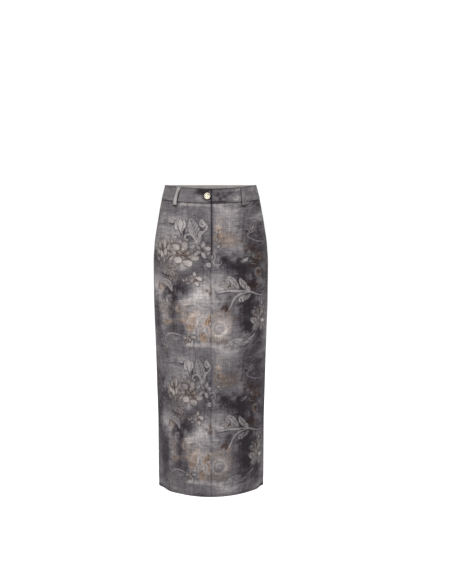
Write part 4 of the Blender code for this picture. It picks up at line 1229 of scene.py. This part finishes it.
slider_top = float(rise[0, 0]) - SLIDER_BELOW
tooth = np.arange(slider_top, float(rise[-1, 0]) + TEETH_ABOVE, -TOOTH_PITCH / 2.0)
row = np.where(np.arange(len(tooth)) % 2 == 0, 1.0, -1.0)
tooth_turn = turn[0].mean() + row * 0.0011 / GIRTH_PER_DEGREE
behind = layer(tooth_turn, tooth, offset - ZIP_CLOTH - 0.0002)
heading = layer(tooth_turn + 0.2, tooth, offset) - layer(tooth_turn - 0.2, tooth, offset)
slider = layer(turn[0].mean(), np.array((slider_top,)), offset - ZIP_CLOTH - 0.0008)
teeth = short_bars(
    "zip_teeth",
    np.vstack((behind, slider, slider - (0.0, 0.0, SLIDER_TAB_DROP))),
    np.vstack((heading, (0.0, 0.0, 1.0), (0.0, 0.0, 1.0))),
    np.vstack((outward(skin, tooth_turn, tooth), (0.0, -1.0, 0.0), (0.0, -1.0, 0.0))),
    *(np.append(size * np.ones(len(tooth)), rest) for size, rest in zip(TOOTH_SIZE, SLIDER_SIZE)),
    [zip_metal],
)
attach(teeth, "root")


# ==== The waistband ==========================================================================
# A folded strip of the same denim, 43 mm tall. Its right end lies on top at the centre front
# and its left end goes on under it. It is sewn to the panels along its lower edge and once
# more along its upper one.

BAND_THICKNESS = 0.0026
BAND_PROUD = 0.0010
BAND_LAP = 0.030
BAND_STEP_END = 0.024
BAND_FOLD = 0.0012                # radius of its folded edges
BAND_SEWN = (0.0025, 0.0405)      # drops of its two rows of stitches
BAND_SHADE = ((0.45, 0.0014, BAND_HEIGHT), (0.34, 0.0030, 0.0))    # as the panels' shades
BAND_LAP_SHADE = ((0.60, 0.0034, 0.001),)
BAND_END_SHADE = ((0.25, 0.0016, 0.0),)
BAND_LOOP_SHADE = ((0.55, 0.0020, 0.0074), (0.36, 0.0018, -0.0074))
BUTTON_SHADOW = (-0.0118, 0.0235)   # across, and drop below the top edge
BAND_PRINT_WIDE, BAND_PRINT_TALL = 840.0, 48.0

band_print = PrintScreen(BAND_PRINT_WIDE, BAND_PRINT_TALL, 0.44)
# The clouds at -58 and -26 across are painted shade under the top edge and beside the button.
draw_each(band_print.cloud, "across drop wide tall tone% cover%", (
    (-190, 22, 50, 40, 54, 85), (-125, 26, 60, 40, 60, 85), (-56, 32, 50, 22, 58, 90),
    (-70, 41, 60, 7, 66, 80), (-58, 5, 46, 8, 17, 95), (-26, 12, 15, 13, 16, 90),
    (24, 16, 34, 40, 18, 97), (36, 36, 34, 16, 22, 90), (66, 7, 30, 12, 24, 85),
    (88, 30, 26, 22, 52, 85), (142, 30, 40, 22, 45, 90), (150, 6, 40, 10, 36, 70),
    (184, 20, 40, 40, 42, 80), (280, 20, 60, 40, 36, 70), (-280, 20, 60, 40, 40, 70),
))
streaks = 0.5 * band_print.grain(14.0, 1.2, 21) + 0.5 * band_print.grain(3.0, 3.0, 22)
band_print.ink[..., TONE] *= 1.0 + 0.06 * band_print.mottle + 0.04 * streaks
draw_each(band_print.stroke, "width tone% points", (
    (2.2, 56, (54, 34, 58, 25, 66, 19, 74, 23)), (2.8, 66, (70, 16, 80, 8, 92, 4, 100, 6)),
    (3.4, 68, (66, 32, 76, 36, 84, 30, 80, 22)), (2.4, 60, (60, 26, 72, 30, 78, 40)),
    (3, 60, (118, 6, 130, 12, 140, 8, 150, 14)), (2.8, 62, (126, 4, 138, 6, 152, 4, 166, 10)),
    (2.4, 58, (150, 12, 160, 20, 172, 18, 186, 26)),
    (2.4, 56, (-100, 8, -112, 18, -104, 30, -120, 36)),
    (2.4, 60, (-46, 34, -36, 28, -28, 36, -20, 40)),
), cover=0.75, cream=0.2)
draw_each(band_print.scribble, SCRIBBLED, (
    (142, 12, 20, 6, 81, 5, 60, 30, 10, 1.8), (70, 26, 12, 9, 86, 5, 56, 30, 0, 1.6),
    (-100, 26, 34, 10, 82, 5, 58, 30, 0, 1.6), (-168, 18, 18, 9, 83, 5, 55, 30, 0, 1.8),
    (256, 22, 30, 10, 84, 7, 50, 30, 10, 1.8), (-270, 22, 30, 10, 85, 7, 52, 30, 10, 1.8),
))

waist = float(level_column("half_width", np.array(0.0)))
under_end = -turn_at(BAND_LAP, 0.0)
turn = np.concatenate((
    np.linspace(under_end, 12.0, 64, endpoint=False),
    np.linspace(12.0, 352.0, 616, endpoint=False),
    np.linspace(352.0, 360.0, 41),
))[None, :]
quarter = np.radians(np.linspace(0.0, 90.0, 6))
curve = BAND_FOLD * (1.0 - np.cos(quarter))
flat = np.linspace(BAND_FOLD, BAND_HEIGHT - BAND_FOLD, 31)[1:-1]
drop = np.concatenate((curve, flat, BAND_HEIGHT - curve[::-1]))[:, None]
rise = top_edge(turn) - drop
bare = layer(turn, rise, BAND_PROUD)
steps = np.linalg.norm(np.diff(bare, axis=1), axis=-1)
girth = np.concatenate((np.zeros((len(bare), 1)), np.cumsum(steps, axis=1)), axis=1)
from_end = girth[:, -1:] - girth


def fold_in(distance, radius):
    """How far a folded edge has turned in, by the distance from it: a quarter circle."""
    away = radius - np.clip(distance, 0.0, radius)
    return radius - np.sqrt(radius ** 2 - away ** 2)


def band_under(turn):
    """How far the band lies in at its left end, at angles from 0 up."""
    past = waist * np.sin(np.radians(turn))
    step = 1.0 - ease((past - STEP_START) / (BAND_STEP_END - STEP_START))
    return np.where(turn < 90.0, (BAND_THICKNESS + SEAM_GAP) * step, 0.0)


from_edge = np.minimum(drop, BAND_HEIGHT - drop)
pinch = np.maximum(fold_in(from_edge, BAND_FOLD), fold_in(from_end, BAND_FOLD))
pinch = np.maximum(pinch, fold_in(girth, BAND_FOLD))
under = band_under(turn)
relief = -pinch
for phase, row in enumerate(BAND_SEWN):
    wave = np.sin(2.0 * np.pi * girth / 0.0078 + 1.5 * np.sin(girth / 0.023 + phase))
    relief += 0.00012 * wave * bell(drop, 0.004, row)
    relief -= 0.00030 * bell(drop, 0.0008, row)
relief -= 0.00008 * np.sin(girth / 0.019) * np.sin(np.pi * drop / BAND_HEIGHT)
outer = layer(turn, rise, BAND_PROUD - under + relief)
inner = layer(turn, rise, BAND_PROUD - BAND_THICKNESS - under + pinch)
band = closed_shell("waistband_cloth", outer, inner[::THINNED, ::THINNED], THINNED, panel_cloths)
front = girth[:, [np.abs(turn[0]).argmin()]]
from_front = np.where(turn < 180.0, girth - front, girth - girth[:, -1:])
inks = band_print.take(from_front / MILLIMETRE, drop / MILLIMETRE)
band_across = waist * np.sin(np.radians(turn))
# Painted shade: shadows along the band's folded edges, at its ends, by the loops and button.
shade = shaded(drop, BAND_SHADE) + shaded(from_end, BAND_END_SHADE)
shade += (turn < 90.0) * shaded(band_across, BAND_LAP_SHADE)
for loop_turn, lean in LOOP_TURNS:
    beside_loop = turn - loop_turn % 360.0 - lean * drop / BAND_HEIGHT
    shade += shaded(beside_loop * GIRTH_PER_DEGREE, BAND_LOOP_SHADE)
around_button = np.hypot(band_across - BUTTON_SHADOW[0], drop - BUTTON_SHADOW[1])
shade += 0.55 * ((turn > 270.0) | (turn < 0.0)) * bell(around_button, 0.0125, power=6)
inks[..., TONE] *= 1.0 - np.clip(shade, 0.0, 0.75)
edge = np.minimum(from_edge, from_end)
worn = 0.35 * bell(edge, 0.0008, 0.0012) * np.clip(drop / 0.02, 0.0, 1.0)
carry_print(band, inks, worn, from_front, rise, THINNED)
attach(band, "root")
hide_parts("waistband")


# ==== The belt loops =========================================================================
# Five narrow strips of the denim with both edges folded to the back. Each bows out over the
# waistband, and is sewn down by a bar of close stitches at its two ends.

LOOP_WIDTH = 0.012
LOOP_CLOTH = 0.0016
LOOP_ROWS = 57
LOOP_AROUND = 32
LOOP_FOLD = 0.0012                # radius of its folded ends
LOOP_LENGTH = 0.0530
# How far its under side stands out of the panels: drop, and how far.
LOOP_PROFILE = (
    (0.0004, BAND_PROUD + SEAM_GAP), (0.0080, 0.0023), (0.0180, 0.0035), (0.0290, 0.0037),
    (0.0400, 0.0029), (0.0470, 0.0016), (LOOP_LENGTH, SEAM_GAP),
)
# Each one's name, turn, lean to its foot, tone, share narrowed at its middle, and twist.
LOOP_PLACES = (
    ("belt_loop_front_right", -41.8, -2.8, 0.66, 0.26, 0.0005),
    ("belt_loop_front_left", 41.4, -1.0, 0.45, 0.06, -0.0002),
    ("belt_loop_back_left", 139.0, 0.8, 0.42, 0.08, 0.0002),
    ("belt_loop_back_right", -139.0, -0.8, 0.45, 0.10, -0.0003),
    ("belt_loop_back_centre", 180.0, 0.0, 0.40, 0.05, 0.0002),
)


def loop_stand_off(drop):
    """How far a loop's under side stands out of the panels: a smooth curve through its table."""
    table = np.array(LOOP_PROFILE)
    even = np.linspace(table[0, 0], table[-1, 0], 400)
    line = np.interp(even, *table.T)
    window = np.exp(-0.5 * (np.arange(-24, 25) / 9.0) ** 2)
    soft = np.convolve(np.pad(line, 24, mode="edge"), window / window.sum(), mode="valid")
    return np.interp(drop, even, np.maximum(soft, line - 0.0003))


def loop_place(turn, lean, narrowed, drop, beside):
    """Angle and height on a loop from its drop and its share of the half width."""
    middle = turn + lean * drop / LOOP_LENGTH
    height = top_edge(middle) - drop
    girth = skin(middle + TURN_STEP, height) - skin(middle - TURN_STEP, height)
    speed = np.linalg.norm(girth, axis=-1) / (2.0 * TURN_STEP)
    slim = 1.0 - narrowed * np.sin(np.pi * drop / LOOP_LENGTH) ** 2
    angle = middle + 0.5 * LOOP_WIDTH * beside * slim / speed
    return angle, top_edge(angle) - drop


for name, loop_turn, lean, tone, narrowed, twist in LOOP_PLACES:
    drop = np.linspace(LOOP_PROFILE[0][0], LOOP_LENGTH, LOOP_ROWS)[:, None]
    spin = np.linspace(0.0, 2.0 * np.pi, LOOP_AROUND, endpoint=False)[None, :]
    beside = np.sign(np.cos(spin)) * np.abs(np.cos(spin)) ** 0.42 + 0.0 * drop
    out = np.sign(np.sin(spin)) * np.abs(np.sin(spin)) ** 0.55
    from_end = np.minimum(drop - drop[0], drop[-1] - drop)
    thin = 1.0 - 0.55 * fold_in(from_end, LOOP_FOLD) / LOOP_FOLD
    ridge = 0.00018 * bell(np.abs(beside), 0.10, 0.86) * (out > 0.3)
    twisted = np.abs(twist) + twist * beside * np.sin(np.pi * drop / LOOP_LENGTH)
    angle, height = loop_place(loop_turn, lean, narrowed, drop, beside)
    offset = loop_stand_off(drop) + 0.5 * LOOP_CLOTH * (1.0 + out * thin) + ridge + twisted
    points = layer(angle, height, offset)
    index = np.arange(points[..., 0].size).reshape(points.shape[:2])
    joined = np.hstack((index, index[:, :1]))[:, ::-1]
    faces = quads(joined).tolist() + [index[0].tolist(), index[-1, ::-1].tolist()]
    piece = place_mesh(name + "_cloth", points.reshape(-1, 3), faces, panel_cloths)
    blotch = 0.03 * np.sin(drop / 0.0061 + loop_turn) + 0.025 * np.sin(beside * 3.0 + drop / 0.009)
    inks = np.stack((tone + blotch, 0.1 + 0.0 * blotch, 0.0 * blotch), axis=-1)
    worn = 0.5 * bell(np.abs(beside), 0.10, 1.0) + 0.3 * bell(from_end, 0.0010)
    carry_print(piece, inks, worn, 0.006 * beside, -drop)
    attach(piece, "root")
    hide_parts(name)


# ==== The button =============================================================================
# A domed button of polished pale metal, stamped from sheet: a rolled rim, a groove and a dome.
# Its shank goes through the buttonhole in the lapped end of the band. It stays fastened.

BUTTON_ACROSS = -0.0103
BUTTON_HEIGHT = -0.0112
BUTTON_SIDES = 72
BUTTON_CROWN = 0.0053
# Its turned outline, from its foot to its crown: radius and height.
BUTTON_PROFILE = (
    (0.0036, 0), (0.0037, 0.0009), (0.0042, 0.0011), (0.0078, 0.0012), (0.0088, 0.0015),
    (0.0094, 0.002), (0.0096, 0.0026), (0.0095, 0.0032), (0.0091, 0.00365), (0.0086, 0.00375),
    (0.0082, 0.0036), (0.0079, 0.0033), (0.0076, 0.0032), (0.0072, 0.0034), (0.0065, 0.0039),
    (0.0055, 0.0044), (0.0043, 0.0048), (0.003, 0.0051), (0.0015, 0.00525),
)

profile = np.array(BUTTON_PROFILE)
spin = np.linspace(0.0, 2.0 * np.pi, BUTTON_SIDES, endpoint=False)
rise = np.array(BUTTON_HEIGHT)
turn = turn_at(BUTTON_ACROSS, rise)
facing = outward(skin, turn, rise)
seat = layer(turn, rise, BAND_PROUD + SEAM_GAP)
level = np.cross((0.0, 0.0, 1.0), facing)
level /= np.linalg.norm(level)
upright = np.cross(facing, level)
round_points = np.cos(spin)[:, None] * level + np.sin(spin)[:, None] * upright
points = seat + profile[:, :1, None] * round_points[None] + profile[:, 1:, None] * facing
count = points[..., 0].size
index = np.arange(count).reshape(len(profile), BUTTON_SIDES)
points = np.vstack((points.reshape(-1, 3), seat, seat + BUTTON_CROWN * facing))
ahead = np.roll(index, -1, axis=1)
foot = np.stack((np.full(BUTTON_SIDES, count), ahead[0], index[0]), axis=-1)
dome = np.stack((np.full(BUTTON_SIDES, count + 1), index[-1], ahead[-1]), axis=-1)
faces = round_faces(index).tolist() + foot.tolist() + dome.tolist()
button_metal = metal("button metal", (236, 226, 204), 0.17, 0.05)
button = place_mesh("button_domed", points, faces, [button_metal])
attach(button, "root")
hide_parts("button")


# ==== The sewing =============================================================================
# Thick cotton thread in the grey of the cloth: rows of stitches along both edges of the band,
# round the hem, down the fly's facing and along the loops, and bars of close stitches where
# the skirt is pulled.

THREAD = 0.00062
STITCH = 0.0029                   # from one stitch to the next
BAR_STITCH = 0.00055
BAND_END_SEWN = 0.0025            # its row across the band's end, in from the centre front
FLY_ROW_ACROSS = -0.030
FLY_ROW_BEND = -0.112             # below here the row curves in to the fly's foot

thread = []


def sew_row(path, normal, pitch=STITCH, crossed=None):
    """Stitches at an even pitch along a path of points. A crossed row lies square to its path,
    each stitch as long as `crossed` says."""
    steps = np.linalg.norm(np.diff(path, axis=0), axis=1)
    length = np.concatenate(((0.0,), np.cumsum(steps)))
    at = np.arange(0.5 * pitch, length[-1], pitch)

    def along(values, distance):
        return np.stack([np.interp(distance, length, axis) for axis in values.T], axis=-1)

    up = along(normal, at)
    heading = along(path, at + 0.3 * pitch) - along(path, at - 0.3 * pitch)
    if crossed:
        slant = np.where(np.arange(len(at)) % 2, 1, -1)[:, None]
        heading = np.cross(up, heading) + 0.35 * heading * slant
    thread.append((along(path, at), heading, up, np.full(len(at), crossed or 0.82 * pitch)))


def sew_along(turn, rise, offset, pitch=STITCH, crossed=None, moved=0.0):
    """A row along places on the skirt, moved sideways with an edge that has swung out."""
    turn, rise, offset, moved = np.broadcast_arrays(turn, rise, offset, moved)
    path = layer(turn, rise, offset)
    path[..., 0] += moved
    sew_row(path, outward(skin, turn, rise), pitch, crossed)


round_the_waist = np.linspace(1.2, 358.9, 2400)
for row in BAND_SEWN:
    sunk = BAND_PROUD - band_under(round_the_waist) - 0.00012
    sew_along(round_the_waist, top_edge(round_the_waist) - row, sunk)
end_turn = np.full(60, -turn_at(BAND_END_SEWN, 0.0))
sew_along(end_turn, top_edge(end_turn) - np.linspace(*BAND_SEWN, 60), BAND_PROUD + 0.00008)
round_the_hem = np.linspace(-178.2, 178.2, 3000)
sew_along(round_the_hem, HEM + HEM_SEWN, -0.00015)
fly_rise = np.linspace(float(band_seam(0.0)) - 0.001, FLY_FOOT + 0.003, 240)
past_bend = (fly_rise - FLY_ROW_BEND) / (FLY_FOOT - FLY_ROW_BEND)
bend = np.sqrt(np.clip(1.0 - past_bend ** 2, 0.0, 1.0))
fly_across = FLY_ROW_ACROSS * np.where(fly_rise > FLY_ROW_BEND, 1.0, bend)
sew_along(turn_at(fly_across, fly_rise), fly_rise, 0.0)
foot_rise = np.linspace(FLY_FOOT + 0.0045, FLY_FOOT - 0.0045, 20)
sew_along(np.full(20, -0.75), foot_rise, 0.00012, BAR_STITCH, crossed=0.0026)
slit_rise = np.linspace(SLIT_TOP + 0.010, HEM + HEM_SEWN, 300)
swung = np.clip((SLIT_TOP - slit_rise) / (SLIT_TOP - HEM), 0.0, 1.0) * SLIT_SPREAD / 2.0
for side in (1.0, -1.0):
    sew_along(side * 177.6, slit_rise, 0.0, moved=side * swung * 0.6)
sew_along(np.linspace(177.6, 182.4, 20), SLIT_TOP + 0.010, 0.0002, BAR_STITCH, crossed=0.0024)

hole_turn = turn + np.degrees(np.linspace(0.0, 0.0165, 30) / waist) * -1.0
for above in (1.0, -1.0):
    hole_rise = BUTTON_HEIGHT + above * 0.0012
    sew_along(hole_turn, hole_rise, BAND_PROUD + 0.00008, 0.0005, crossed=0.0019)

for _, loop_turn, lean, _, narrowed, twist in LOOP_PLACES:
    drop = np.linspace(0.0026, 0.0512, 120)
    over = loop_stand_off(drop) + LOOP_CLOTH + np.abs(twist) - 0.00005
    for beside in (-0.66, 0.66):
        angle, height = loop_place(loop_turn, lean, narrowed, drop, beside)
        sew_along(angle, height, over + beside * twist * np.sin(np.pi * drop / LOOP_LENGTH))
    for drop_at in (0.0022, 0.0508):
        drop = np.full(20, drop_at)
        angle, height = loop_place(loop_turn, lean, narrowed, drop, np.linspace(-0.80, 0.80, 20))
        over = loop_stand_off(drop) + LOOP_CLOTH + np.abs(twist) + 0.00005
        sew_along(angle, height, over, BAR_STITCH, crossed=0.0022)

thread_cotton, tree, shader = cloth_material("grey thread", 0.7, 0.2)
place = add_node(tree, "TexCoord").outputs["Object"]
fibres = noise(tree, place, 2600.0, detail=3.0)
length_tone = noise(tree, place, 130.0)
varied = math_node(tree, "MULTIPLY", length_tone, 0.4)
twisted = math_node(tree, "MULTIPLY_ADD", fibres, 0.6, varied)
spun = mixed(tree, "MIX", twisted, paint(78, 74, 76), paint(120, 115, 116))
feed(tree, shader.inputs["Base Color"], spun)
raised(tree, shader, fibres, 0.00012)

middles, headings, normals, lengths = (np.concatenate(part) for part in zip(*thread))
width = np.full(len(lengths), THREAD)
sewing = short_bars(
    "sewing", middles, headings, normals, lengths, width, 0.8 * width, [thread_cotton])
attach(sewing, "root")


# ==== The studio =============================================================================
# A plain pale floor under a white surround, soft light from above left and in front, and the
# camera at the photograph's viewing angle: level with the hips, 2.8 m away.

FLOOR = -1.107
FLOOR_REACH = 14.0
LIT_PLACE = (0.0, 0.0, -0.40)
CAMERA_PLACE = (0.0, -2.8, -0.015)
CAMERA_LENS = 56.695
CAMERA_PITCH = 5.879
CAMERA_YAW = 0.945
LIGHTS = (                        # name, place, size and watts
    ("left front light", (-1.3, -3.3, 1.3), 2.4, 40.0),
    ("right front light", (1.5, -3.3, 0.5), 2.2, 17.0),
    ("top light", (0.2, -0.6, 2.6), 2.0, 8.0),
    ("left back light", (-1.9, 2.9, 1.2), 2.4, 28.0),
    ("right back light", (1.7, 3.0, 0.8), 2.4, 24.0),
)

spin = np.linspace(0.0, 2.0 * np.pi, 96, endpoint=False)
ring = np.stack((np.cos(spin), np.sin(spin), 0.0 * spin), axis=-1) * FLOOR_REACH
ring[:, 2] = FLOOR
floor_paint, _, _ = new_material(
    "pale floor", Base_Color=(0.86, 0.86, 0.86, 1.0), Roughness=0.9, Specular_IOR_Level=0.0,
    Emission_Color=(1.0, 1.0, 1.0, 1.0), Emission_Strength=0.74)
floor = place_mesh("floor", ring, [list(range(96))], [floor_paint])

world = bpy.data.worlds.new("white surround")
bpy.context.scene.world = world
world.use_nodes = True
tree = world.node_tree
surround = tree.nodes["Background"]
surround.inputs["Color"].default_value = (1.0, 1.0, 1.0, 1.0)
seen = add_node(tree, "LightPath").outputs["Is Camera Ray"]
feed(tree, surround.inputs["Strength"], math_node(tree, "MULTIPLY_ADD", seen, 0.68, 0.34))

for name, place, size, watts in LIGHTS:
    light = bpy.data.lights.new(name, "AREA")
    light.shape = "DISK"
    light.size = size
    light.energy = watts
    lamp = bpy.data.objects.new(name, light)
    lamp.location = place
    aim = Vector(LIT_PLACE) - Vector(place)
    lamp.rotation_euler = aim.to_track_quat("-Z", "Y").to_euler()
    bpy.context.collection.objects.link(lamp)

lens = bpy.data.cameras.new("camera")
lens.lens = CAMERA_LENS
lens.clip_end = 60.0
camera = bpy.data.objects.new("camera", lens)
camera.location = CAMERA_PLACE
camera.rotation_euler = np.radians((90.0 - CAMERA_PITCH, 0.0, -CAMERA_YAW))
bpy.context.collection.objects.link(camera)
bpy.context.scene.camera = camera
bpy.context.scene.view_settings.view_transform = "Standard"
bpy.context.scene.view_settings.look = "None"
